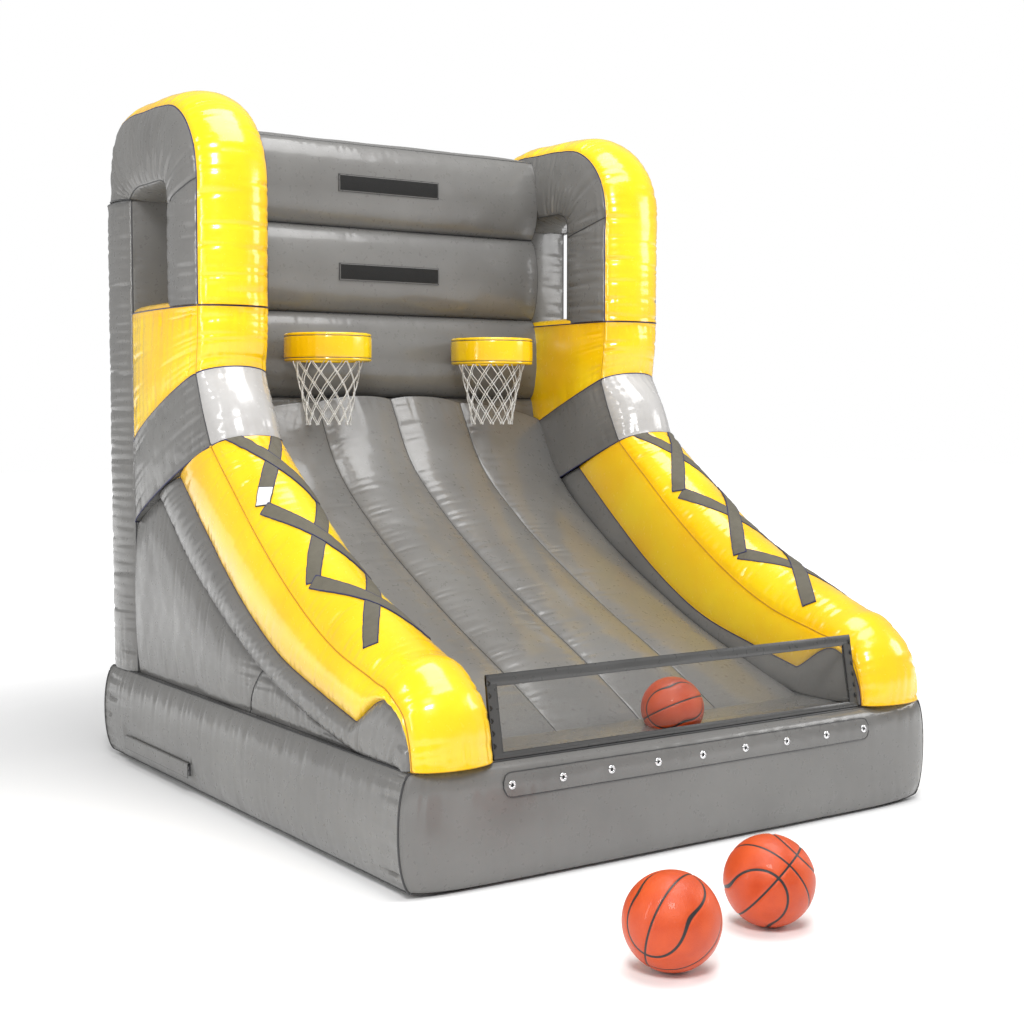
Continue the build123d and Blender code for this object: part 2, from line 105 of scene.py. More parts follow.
def tint(tree, factor, first, second, blend="MIX"):
    """Two colours mixed by a factor; either may be a socket."""
    made = add(tree, "ShaderNodeMix", data_type="RGBA", blend_type=blend)
    for value, index in ((factor, 0), (first, 6), (second, 7)):
        if isinstance(value, tuple):
            made.inputs[index].default_value = (*value, 1)
        elif isinstance(value, (int, float)):
            made.inputs[index].default_value = value
        else:
            tree.links.new(value, made.inputs[index])
    return made.outputs[2]


def bump(tree, height, distance, under=None, strength=1.0):
    made = add(tree, "ShaderNodeBump", Strength=strength, Distance=distance)
    tree.links.new(height, made.inputs["Height"])
    if under is not None:
        tree.links.new(under, made.inputs["Normal"])
    return made.outputs["Normal"]


def coordinates(tree):
    return add(tree, "ShaderNodeTexCoord").outputs["Object"]


def attribute(tree, name):
    return add(tree, "ShaderNodeAttribute", attribute_name=name).outputs["Fac"]


def wire(made, tree, shader, **sockets):
    """Drives the shader's named sockets and gives back the material."""
    for socket, source in sockets.items():
        tree.links.new(source, shader.inputs[socket.replace("_", " ")])
    return made


def vinyl(name, colour, dark, light, seam_colour, roughness, coat):
    """Glossy coated fabric: clouded colour, soft crinkles, painted shade along the seams and a row of
    stitches.
    """
    made, tree, shader = material(name, colour, roughness, Coat_Weight=coat, Coat_Roughness=0.09)
    place = coordinates(tree)
    cloud = noise(tree, place, 2.6, 4.0)
    mottle = noise(tree, place, 17.0, 3.0)
    shade = tint(tree, spread_to(tree, cloud, 0.3, 0.7, 0.0, 1.0), dark, light)
    shade = tint(tree, spread_to(tree, mottle, 0.35, 0.75, 0.0, 0.16), shade, dark)
    edge = attribute(tree, "seam")
    # painted shade: the colour darkens smoothly towards each seam, over the last 35 mm, where the swollen
    # panels meet in a valley
    seam_shade = spread_to(tree, edge, 0.0, 0.035, 0.55, 0.0, smooth=True)
    shade = tint(tree, seam_shade, shade, dark)
    line = spread_to(tree, edge, 0.0012, 0.0026, 1.0, 0.0)
    shade = tint(tree, line, shade, seam_colour)
    fine = noise(tree, place, 46.0, 5.0, 0.6)
    gloss = spread_to(tree, fine, 0.3, 0.75, roughness - 0.05, roughness + 0.09)
    crinkle = bump(tree, noise(tree, place, 15.0, 3.0, 0.45), 0.0006, strength=0.4)
    run = maths(tree, "MULTIPLY", attribute(tree, "along"), 2 * math.pi / 0.0075)
    dashes = spread_to(tree, maths(tree, "SINE", run), -0.3, 0.1, 0.0, 1.0)
    row = maths(tree, "ABSOLUTE", maths(tree, "SUBTRACT", edge, 0.0085))
    stitches = maths(tree, "MULTIPLY", dashes, spread_to(tree, row, 0.0005, 0.0011, 1.0, 0.0))
    normal = bump(tree, stitches, 0.0006, crinkle, 0.6)
    return wire(made, tree, shader, Base_Color=shade, Roughness=gloss, Normal=normal)


def plain_detail(name, colour, roughness, grain, depth, spread=0.25, **settings):
    """Small parts: colour variation and a grain, both from noise."""
    made, tree, shader = material(name, colour, roughness, **settings)
    place = coordinates(tree)
    darker = tuple(c * (1 - spread) for c in colour)
    lighter = tuple(min(1.0, c * (1 + spread)) for c in colour)
    cloud = noise(tree, place, grain * 0.12, 4.0)
    shade = tint(tree, cloud, darker, lighter)
    fine = noise(tree, place, grain, 4.0)
    gloss = spread_to(tree, fine, 0.3, 0.7, max(0.03, roughness - 0.08), min(1.0, roughness + 0.1))
    return wire(made, tree, shader, Base_Color=shade, Roughness=gloss, Normal=bump(tree, fine, depth))


def woven(name, colour, thread, depth, roughness=0.7, outline=None):
    """Webbing: crossed ribs; outline colours the edges where the seam attribute is small."""
    made, tree, shader = material(name, colour, roughness)
    place = coordinates(tree)
    ribs = []
    for direction in ("DIAGONAL", "Z"):
        rib = add(tree, "ShaderNodeTexWave", bands_direction=direction, Scale=thread, Distortion=0.4)
        tree.links.new(place, rib.inputs["Vector"])
        ribs.append(rib.outputs["Fac"])
    weave = maths(tree, "MULTIPLY", *ribs)
    cloud = noise(tree, place, 40.0, 4.0)
    shade = tint(tree, cloud, tuple(c * 0.75 for c in colour), tuple(min(1, c * 1.25) for c in colour))
    shade = tint(tree, spread_to(tree, weave, 0.0, 1.0, 0.25, 0.0), shade, tuple(c * 0.4 for c in colour))
    if outline:
        edge = spread_to(tree, attribute(tree, "seam"), 0.0025, 0.0035, 1.0, 0.0)
        shade = tint(tree, edge, shade, outline)
    return wire(made, tree, shader, Base_Color=shade, Normal=bump(tree, weave, depth))


NAVY = (0.012, 0.014, 0.075)
SOOT = (0.02, 0.02, 0.021)
grey = vinyl("grey_vinyl", (0.15, 0.147, 0.14), (0.125, 0.122, 0.117), (0.16, 0.157, 0.15), SOOT, 0.3, 0.35)
AMBER = (0.5, 0.26, 0.002)
yellow = vinyl("yellow_vinyl", (0.86, 0.6, 0.006), (0.84, 0.46, 0.001), (0.87, 0.63, 0.008), AMBER, 0.22, 0.5)
silver = vinyl("silver_vinyl", (0.44, 0.43, 0.42), (0.36, 0.35, 0.34), (0.48, 0.47, 0.46), SOOT, 0.22, 0.5)
navy_welt, amber_welt, dark_welt = (
    plain_detail(name, colour, roughness, 160.0, 0.0004)
    for name, colour, roughness in (("navy_welt", NAVY, 0.35), ("amber_welt", (0.42, 0.2, 0.004), 0.35),
                                    ("dark_welt", (0.035, 0.035, 0.036), 0.38))
)
strap_cloth = woven("strap_webbing", (0.115, 0.105, 0.078), 260.0, 0.0003, outline=NAVY)
white_tip = woven("strap_tip", (0.75, 0.75, 0.74), 260.0, 0.0004, 0.5, outline=SOOT)
black_webbing = woven("black_webbing", (0.03, 0.03, 0.032), 300.0, 0.0004)
hook_pile = woven("hook_and_loop", (0.012, 0.012, 0.012), 420.0, 0.0006, 0.95)
steel = plain_detail("plated_steel", (0.72, 0.72, 0.73), 0.22, 300.0, 0.0001, 0.08, Metallic=1.0)
cord_white = woven("white_cord", (0.85, 0.84, 0.8), 520.0, 0.0005, 0.75)
tape = woven("zip_tape", (0.03, 0.03, 0.033), 500.0, 0.0003, 0.8)
bladder_rubber = plain_detail("bladder_rubber", (0.03, 0.03, 0.03), 0.6, 200.0, 0.0003)


def clear_vinyl():
    """Clear window film with faint waves and a smoky tint."""
    made, tree, shader = material("clear_vinyl", (0.55, 0.55, 0.55), 0.12, IOR=1.4)
    place = coordinates(tree)
    haze = noise(tree, place, 5.0, 3.0)
    shade = tint(tree, haze, (0.1, 0.1, 0.1), (0.2, 0.2, 0.19))
    thinness = spread_to(tree, haze, 0.3, 0.7, 0.1, 0.18)
    waves = bump(tree, noise(tree, place, 9.0, 2.0), 0.004)
    return wire(made, tree, shader, Base_Color=shade, Alpha=thinness, Normal=waves)


def ball_rubber():
    """Pebbled orange rubber with dark channels where the groove attribute is high."""
    made, tree, shader = material("ball_rubber", (0.8, 0.12, 0.02), 0.45, Coat_Weight=0.08)
    place = coordinates(tree)
    cloud = noise(tree, place, 14.0, 4.0)
    shade = tint(tree, spread_to(tree, cloud, 0.3, 0.7, 0, 1), (0.5, 0.05, 0.005), (0.62, 0.078, 0.008))
    groove = attribute(tree, "groove")
    shade = tint(tree, spread_to(tree, groove, 0.45, 0.65, 0.0, 1.0), shade, (0.012, 0.013, 0.014))
    pebble = add(tree, "ShaderNodeTexVoronoi", Scale=420.0)
    tree.links.new(place, pebble.inputs["Vector"])
    bumps = bump(tree, pebble.outputs["Distance"], 0.0007, strength=0.7)
    gloss = spread_to(tree, cloud, 0.3, 0.7, 0.36, 0.52)
    return wire(made, tree, shader, Base_Color=shade, Normal=bumps, Roughness=gloss)


clear = clear_vinyl()
ball_skin = ball_rubber()


# ---- shared mesh helpers -------------------------------------------------------------------
def wander(position, seed, waves=4):
    """Smooth noise along a line, between about -1 and 1; position is in pitches."""
    draw = np.random.default_rng(seed)
    phase, rate = draw.uniform(0, 2 * np.pi, waves), draw.uniform(0.55, 1.7, waves)
    return sum(np.sin(2 * np.pi * position * r + p) for r, p in zip(rate, phase)) / waves * 1.4


def ripple(points, length, seed, waves=7):
    """Smooth noise in space, between about -1 and 1."""
    draw = np.random.default_rng(seed)
    total = 0
    for _ in range(waves):
        direction = draw.normal(size=3)
        direction *= 2 * np.pi / (length * draw.uniform(0.6, 1.6) * np.linalg.norm(direction))
        total = total + np.sin(points @ direction + draw.uniform(0, 2 * np.pi))
    return total / waves * 1.5


def loft(stations, step, kinks=()):
    """Stations (k, columns, 3) joined by smooth curves and cut about every step along them.
    kinks are (station, column) pairs where a curve turns sharply."""
    rows = np.asarray(stations, float)
    gaps = np.linalg.norm(np.diff(rows, axis=0), axis=-1).max(axis=-1)
    knots = np.concatenate(([0], np.cumsum(gaps)))
    slopes = np.diff(rows, axis=0) / gaps[:, None, None]
    tangents = np.empty_like(rows)
    tangents[0], tangents[-1] = slopes[0], slopes[-1]
    before, after = gaps[:-1, None, None], gaps[1:, None, None]
    tangents[1:-1] = (slopes[:-1] * after + slopes[1:] * before) / (before + after)
    arriving = tangents.copy()
    for station, column in kinks:
        arriving[station, column] = slopes[station - 1, column]
        tangents[station, column] = slopes[station, column]
    places = np.linspace(0, knots[-1], max(4, round(knots[-1] / step)) + 1)
    span = np.clip(np.searchsorted(knots, places, side="right") - 1, 0, len(gaps) - 1)
    t = ((places - knots[span]) / gaps[span])[:, None, None]
    width = gaps[span][:, None, None]
    low, high = rows[span], rows[span + 1]
    return (
        low * (1 + 2 * t) * (1 - t) ** 2
        + tangents[span] * width * t * (1 - t) ** 2
        + high * t * t * (3 - 2 * t)
        + arriving[span + 1] * width * t * t * (t - 1)
    )


def arc_length(points):
    steps = np.linalg.norm(np.diff(points, axis=0), axis=-1)
    return np.concatenate(([0], np.cumsum(steps)))


def smoothstep(value):
    value = np.clip(value, 0, 1)
    return value * value * (3 - 2 * value)


def pucker(along, inward, depth, reach, seed, pitch=0.036):
    """Folds that run into a panel from a gathered seam."""
    phase = 2 * np.pi * along / pitch + 2.4 * wander(along / 0.19, seed)
    strength = np.clip(0.5 + 0.7 * wander(along / 0.11, seed + 1), 0.04, 1.3)
    length = 0.3 * reach * np.clip(1 + 0.5 * wander(along / 0.07, seed + 2), 0.35, 1.6)
    fold = (0.5 - 0.5 * np.cos(phase)) ** 1.5
    envelope = inward / length * np.exp(1 - inward / length)
    return -depth * strength * fold * envelope


def normals_of(points, outward):
    """Unit normals of a grid, turned to the side of the outward points."""
    normal = np.cross(np.gradient(points, axis=0), np.gradient(points, axis=1))
    normal /= np.maximum(np.linalg.norm(normal, axis=-1, keepdims=True), 1e-9)
    if (normal * outward).sum() < 0:
        normal = -normal
    return normal


class Sheet:
    """How one panel of a chamber is cut: across, fullness, puckers and colour."""

    def __init__(self, across, paint=0, shape=(2, 0.8), folds=(0.0015, 0.0015), reach=0.07,
                 ends=None, rib=None):
        self.across, self.paint, self.shape = across, paint, shape
        self.folds, self.reach, self.rib = folds, reach, rib
        self.ends = folds if ends is None else ends


def inflated_panel(low, high, bulge, cut, centre, pinch, waves, seed):
    """Grid between two seams, swollen, puckered; returns it with seam distance and run."""
    even = np.linspace(0, 1, cut.across + 1)
    across = 0.35 * even + 0.65 * 0.5 * (1 - np.cos(np.pi * even))
    v = across[None, :, None]
    flat = low[:, None] * (1 - v) + high[:, None] * v
    along = arc_length((low + high) / 2)
    ends = np.minimum(along, along[-1] - along)
    tight = 1 - pinch * np.exp(-((ends / 0.05) ** 2) * 0.5) if pinch else np.ones(len(along))
    power, root = cut.shape
    dome = (1 - np.abs(2 * v - 1) ** power) ** root
    points = flat + bulge[:, None] * dome * tight[:, None, None]
    steps = np.linalg.norm(np.diff(points, axis=1), axis=-1)
    run = np.concatenate((np.zeros((len(points), 1)), np.cumsum(steps, axis=1)), axis=1)
    back = run[:, -1:] - run
    long_run = np.broadcast_to(along[:, None], run.shape)
    to_start, to_end = long_run, along[-1] - long_run
    sides = ((long_run, run, cut.folds[0]), (long_run, back, cut.folds[1]),
             (run, to_start, cut.ends[0]), (run, to_end, cut.ends[1]))
    depth = 0
    for number, (beside, inward, size) in enumerate(sides):
        depth = depth + pucker(beside, inward, size, cut.reach, seed + 10 * number)
    if cut.rib is not None:
        place = cut.rib[0] + (cut.rib[1] - cut.rib[0]) * across[None, :]
        away = np.abs(long_run - place)
        depth = depth - 0.006 * np.exp(-((away / 0.012) ** 2))
        depth = depth + pucker(run, away, 0.004, 0.09, seed + 40, 0.03)
    border = np.minimum(np.minimum(run, back), np.minimum(to_start, to_end))
    depth = depth + waves * ripple(points, 0.3, seed + 50) + 0.4 * waves * ripple(points, 0.09, seed + 60)
    normal = normals_of(points, points - centre)
    points = points + normal * (depth * smoothstep(border / 0.012))[..., None]
    nearest = np.where(np.minimum(run, back) <= np.minimum(to_start, to_end), long_run, run)
    return points, border, nearest, across


def coons(front, right, back, left):
    """Grid that fills four border curves: front and back run alike, left and right run alike."""
    s = np.linspace(0, 1, len(front))[:, None, None]
    t = np.linspace(0, 1, len(left))[None, :, None]
    ruled_a = front[:, None] * (1 - t) + back[:, None] * t
    ruled_b = left[None] * (1 - s) + right[None] * s
    corners = (front[0] * (1 - s) + front[-1] * s) * (1 - t) + (back[0] * (1 - s) + back[-1] * s) * t
    return ruled_a + ruled_b - corners


def finish_mesh(name, points, faces, slots, attributes=None, paints=None, sharp=40.0, smooth=True):
    """A Blender object from numbers, with outward faces, smooth shading and sharp seams."""
    mesh = bpy.data.meshes.new(name)
    mesh.from_pydata([tuple(p) for p in points.tolist()], [], faces)
    for key, values in (attributes or {}).items():
        mesh.attributes.new(key, "FLOAT", "POINT").data.foreach_set("value", np.asarray(values, np.float32))
    for slot in slots:
        mesh.materials.append(slot)
    if paints is not None:
        mesh.polygons.foreach_set("material_index", np.asarray(paints, np.int32))
    shape = bmesh.new()
    shape.from_mesh(mesh)
    bmesh.ops.recalc_face_normals(shape, faces=shape.faces)
    shape.to_mesh(mesh)
    shape.free()
    if smooth:
        mesh.shade_smooth()
        mesh.set_sharp_from_angle(angle=math.radians(sharp))
    made = bpy.data.objects.new(name, mesh)
    bpy.context.scene.collection.objects.link(made)
    return made


def grid_cells(ids):
    """Quads of a grid of point numbers."""
    return np.stack((ids[:-1, :-1], ids[1:, :-1], ids[1:, 1:], ids[:-1, 1:]), -1).reshape(-1, 4)


def ring_cells(ids, closed=False):
    """Quads between rings of point numbers, and from the last ring to the first when closed."""
    if closed:
        ids = np.concatenate((ids, ids[:1]))
    after = np.roll(ids, -1, axis=1)
    return np.stack((ids[:-1], after[:-1], after[1:], ids[1:]), axis=-1).reshape(-1, 4)


def edge_distances(grid):
    """Straight distances of a grid's points from its first and last rows and columns."""
    lines = (grid[:1], grid[-1:], grid[:, :1], grid[:, -1:])
    return [np.linalg.norm(grid - line, axis=-1) for line in lines]


def joined(parts):
    """Points and faces of several small shapes as one."""
    points, faces, total = [], [], 0
    for shape, cells in parts:
        points.append(shape)
        faces += [[total + i for i in cell] for cell in cells]
        total += len(shape)
    return np.concatenate(points), faces


def surface_of(piece):
    """A piece's faces, ready for casting rays."""
    mesh = piece.data
    return BVHTree.FromPolygons([v.co for v in mesh.vertices], [p.vertices for p in mesh.polygons])


def repaint(node, paint):
    """Gives a frame node, which stays as it is, its material."""
    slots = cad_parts[node].data.materials
    slots.clear()
    slots.append(paint)


def settle(piece, slot, *nodes, body=BODY):
    """Ties a finished piece to its body and hides the frame nodes it stands for; its finish (slot) is not
    used.
    """
    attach(piece, body)
    if nodes:
        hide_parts(*nodes)
    return piece


FULL_CAP = 0.02                           # an end that swells by more than this has puckers too


def chamber(name, stations, bulges, cuts, slots, quad=(0, 1, 2, 3), step=0.0075, pinch=0.12, waves=0.0008,
            caps=(0.0, 0.0), seed=1, edit=None, kinks=()):
    """An air chamber. stations: (k, corners, 3) round each ring; bulges: (k, corners, 3), the swell
    in the middle of each panel. Its ends are closed by caps that swell along the last run."""
    corners = len(cuts)
    both = np.concatenate((np.asarray(stations, float), np.asarray(bulges, float)), axis=1)
    rows = loft(both, step, kinks)
    rings, swell = rows[:, :corners], rows[:, corners:]
    centre = rings.mean(axis=1, keepdims=True)
    grids, seams, runs, borders = [], [], [], {}
    for index, cut in enumerate(cuts):
        low, high = rings[:, index], rings[:, (index + 1) % corners]
        points, border, run, across = inflated_panel(
            low, high, swell[:, index], cut, centre, pinch, waves, seed + 100 * index
        )
        if cut.rib is not None:
            along = arc_length((low + high) / 2)
            places = np.interp(cut.rib[0] + (cut.rib[1] - cut.rib[0]) * across, along, np.arange(len(along)))
            whole = np.clip(places.astype(int), 0, len(along) - 2)
            part = (places - whole)[:, None]
            columns = np.arange(len(across))
            borders["rib", index] = points[whole, columns] * (1 - part) + points[whole + 1, columns] * part
        borders[index] = low
        borders["panel", index] = points
        grids.append(points[:, :-1])
        seams.append(border[:, :-1])
        runs.append(run[:, :-1])
    grid, seam, run = (np.concatenate(parts, axis=1) for parts in (grids, seams, runs))
    count, ring = grid.shape[:2]
    total = count * ring
    ids = np.arange(total).reshape(count, ring)
    faces = ring_cells(ids).tolist()
    paints = [cut.paint for cut in cuts for _ in range(cut.across)] * (count - 1)
    points, seam, run = [grid.reshape(-1, 3)], [seam.ravel()], [run.ravel()]
    starts = np.concatenate(([0], np.cumsum([cut.across for cut in cuts])))
    for end, height in zip((0, -1), caps):
        spans = zip(quad, (*quad[1:], corners))
        edge = [ids[end, np.arange(starts[a], starts[b] + 1) % ring] for a, b in spans]
        front, right, back, left = edge[0], edge[1], edge[2][::-1], edge[3][::-1]
        patch = coons(*(grid[end, line - ids[end, 0]] for line in (front, right, back, left)))
        away = rings[end].mean(0) - rings[1 if end == 0 else -2].mean(0)
        s, t = (np.linspace(-1, 1, n) for n in patch.shape[:2])
        dome = ((1 - s[:, None] ** 4) * (1 - t[None] ** 4)) ** 0.7
        normal = normals_of(patch, np.broadcast_to(away, patch.shape))
        u_run, u_back, v_run, v_back = edge_distances(patch)
        depth = height * dome
        if abs(height) > FULL_CAP:
            for number, inward in ((7, u_run), (8, u_back)):
                depth = depth + pucker(v_run, inward, 0.003, 0.1, seed + number)
            depth = depth + pucker(u_run, v_back, 0.0035, 0.09, seed + 9, 0.05)
            depth = depth + waves * ripple(patch, 0.3, seed + 5)
        border = np.minimum.reduce((u_run, u_back, v_run, v_back))
        patch = patch + normal * (depth * smoothstep(border / 0.01))[..., None]
        inner = np.arange(total, total + (len(front) - 2) * (len(left) - 2)).reshape(len(front) - 2, -1)
        total += inner.size
        net = np.empty(patch.shape[:2], int)
        net[:, 0], net[:, -1], net[0], net[-1] = front, back, left, right
        net[1:-1, 1:-1] = inner
        points.append(patch[1:-1, 1:-1].reshape(-1, 3))
        seam.append(border[1:-1, 1:-1].ravel())
        run.append(v_run[1:-1, 1:-1].ravel())
        cells = grid_cells(net)
        faces += cells.tolist()
        paints += [cuts[quad[1]].paint if len(slots) == 1 else cuts[-1].paint] * len(cells)
    points = np.concatenate(points)
    if edit is not None:
        points = edit(points)
    attributes = {"seam": np.concatenate(seam), "along": np.concatenate(run)}
    made = finish_mesh(name, points, faces, slots, attributes, paints)
    borders["first"], borders["last"] = grid[0], grid[-1]
    return made, borders


def hidden(across):
    """A panel that is covered or seen edge on, without folds at its seams."""
    return Sheet(across, folds=(0, 0))


def padded_chamber(name, stations, bulges, cuts, paints, slot="grey_vinyl", nodes=None, **settings):
    """A chamber settled in place of its frame nodes as a padded piece; gives back its borders."""
    made, borders = chamber(name, stations, bulges, cuts, paints, **settings)
    settle(made, slot, *(nodes or [name]))
    return borders


def tube(path, radius, sides=6, closed=False):
    """Points and faces of a round welt along a path."""
    path = np.asarray(path, float)
    forward = np.roll(path, -1, 0) - np.roll(path, 1, 0)
    if not closed:
        forward[0], forward[-1] = path[1] - path[0], path[-1] - path[-2]
    forward /= np.maximum(np.linalg.norm(forward, axis=1, keepdims=True), 1e-9)
    up = np.where(np.abs(forward[:, 2:]) > 0.9, np.array([[1.0, 0, 0]]), np.array([[0, 0, 1.0]]))
    across = np.cross(forward, up)
    across /= np.maximum(np.linalg.norm(across, axis=1, keepdims=True), 1e-9)
    second = np.cross(forward, across)
    turns = np.arange(sides) * 2 * np.pi / sides
    around = np.cos(turns)[None, :, None] * across[:, None], np.sin(turns)[None, :, None] * second[:, None]
    ring = path[:, None] + radius * around[0] + radius * around[1]
    ids = np.arange(len(path) * sides).reshape(-1, sides)
    faces = ring_cells(ids, closed).tolist()
    if not closed:
        faces += [ids[0][::-1].tolist(), ids[-1].tolist()]
    return ring.reshape(-1, 3), faces


def tubes(name, paths, radius, paint, sides=6, closed=False):
    """Several welts in one object."""
    points, faces = joined(tube(path, radius, sides, closed) for path in paths)
    return finish_mesh(name, points, faces, [paint], {"seam": np.full(len(points), 0.02)})


# ---- tower chambers ------------------------------------------------------------------------
TOWER_OUT, TOWER_IN = 1.010, 0.747        # seams; the panels swell past them


def tower_rings(side, rows, swell_out, swell_in, outer=TOWER_OUT):
    """Stations and bulges from rows of (front seam, front crest, back seam, back crest) in y, z."""
    stations, bulges = [], []
    for front, crest, back, rear in rows:
        stations.append([(side * x, *seam) for x, seam in
                         ((outer, front), (TOWER_IN, front), (TOWER_IN, back), (outer, back))])
        bulges.append([(0, crest[0] - front[0], crest[1] - front[1]), (-side * swell_in, 0, 0),
                       (0, rear[0] - back[0], rear[1] - back[1]), (side * swell_out, 0, 0)])
    return stations, bulges


def turned(centre, radius, degrees):
    """A point of a circle in y, z."""
    angle = math.radians(degrees)
    return (centre[0] + radius * math.cos(angle), centre[1] + radius * math.sin(angle))


def corner_rows(centre, seam_radius, crest_radius, turns, slot_corner):
    """Rows that carry the seam and the crest round one corner of the arch."""
    return [(turned(centre, seam_radius, turn), turned(centre, crest_radius, turn), back, rear)
            for turn, (back, rear) in zip(turns, slot_corner)]


def arch_rows():
    """Front post from the sill up, over the slot and down to the rear post."""
    rows = [((0.283, z), (0.218, z), (0.538, z), (0.562, z)) for z in (1.71, 1.84, 1.97, 2.06)]
    rows += corner_rows((0.565, 2.14), 0.285, 0.348, (180, 156, 133, 111), [
        ((0.538, 2.10), (0.563, 2.09)), ((0.543, 2.13), (0.568, 2.113)),
        ((0.562, 2.155), (0.58, 2.128)), ((0.60, 2.168), (0.61, 2.137)),
    ])
    rows += [((0.60, 2.427), (0.59, 2.488), (0.655, 2.17), (0.655, 2.138)),
             ((0.75, 2.43), (0.75, 2.49), (0.74, 2.17), (0.74, 2.138))]
    rows += corner_rows((0.91, 2.27), 0.16, 0.218, (92, 60, 32, 6), [
        ((0.82, 2.17), (0.82, 2.138)), ((0.858, 2.162), (0.85, 2.133)),
        ((0.885, 2.15), (0.875, 2.13)), ((0.9, 2.14), (0.895, 2.128)),
    ])
    return rows + [((1.085, 2.137), (1.13, 2.137), (0.908, 2.134), (0.902, 2.134))]


COLLAR_TOP = ((0.308, 1.474), (0.236, 1.504), (0.893, 1.231), (0.897, 1.2295))
COLLAR_FOOT = ((0.188, 1.225), (0.088, 1.267), (0.893, 0.928), (0.897, 0.9265))
# slope bolster: (seam, crest, lower seam of the yellow side band, bottom) in y, z
SLOPE_ROWS = [
    ((0.188, 1.225), (0.088, 1.267), (0.455, 1.112), (0.645, 1.032)),
    ((0.037, 1.103), (-0.045, 1.163), (0.200, 0.905), (0.340, 0.794)),
    ((-0.177, 0.935), (-0.248, 1.022), (-0.020, 0.742), (0.095, 0.652)),
    ((-0.436, 0.765), (-0.500, 0.868), (-0.300, 0.588), (-0.200, 0.517)),
    ((-0.700, 0.640), (-0.757, 0.757), (-0.600, 0.500), (-0.530, 0.416)),
    ((-0.930, 0.580), (-0.975, 0.668), (-0.830, 0.446), (-0.800, 0.362)),
    ((-1.035, 0.546), (-1.095, 0.618), (-1.017, 0.531), (-0.930, 0.354)),
    ((-1.098, 0.500), (-1.165, 0.545), (-1.088, 0.490), (-1.000, 0.354)),
    ((-1.128, 0.425), (-1.195, 0.448), (-1.124, 0.420), (-1.055, 0.354)),
    ((-1.140, 0.356), (-1.203, 0.356), (-1.136, 0.356), (-1.090, 0.354)),
]
GUSSET_ROWS = [
    ((0.893, 0.925), (0.893, 0.353)), ((0.660, 1.022), (0.665, 0.353)), ((0.500, 0.900), (0.505, 0.353)),
    ((0.340, 0.785), (0.345, 0.353)), ((0.095, 0.644), (0.100, 0.353)), ((-0.200, 0.509), (-0.195, 0.353)),
    ((-0.530, 0.409), (-0.525, 0.353)), ((-0.780, 0.360), (-0.775, 0.352)),
]
WELT = 0.0024
BASE_TOP = 0.352


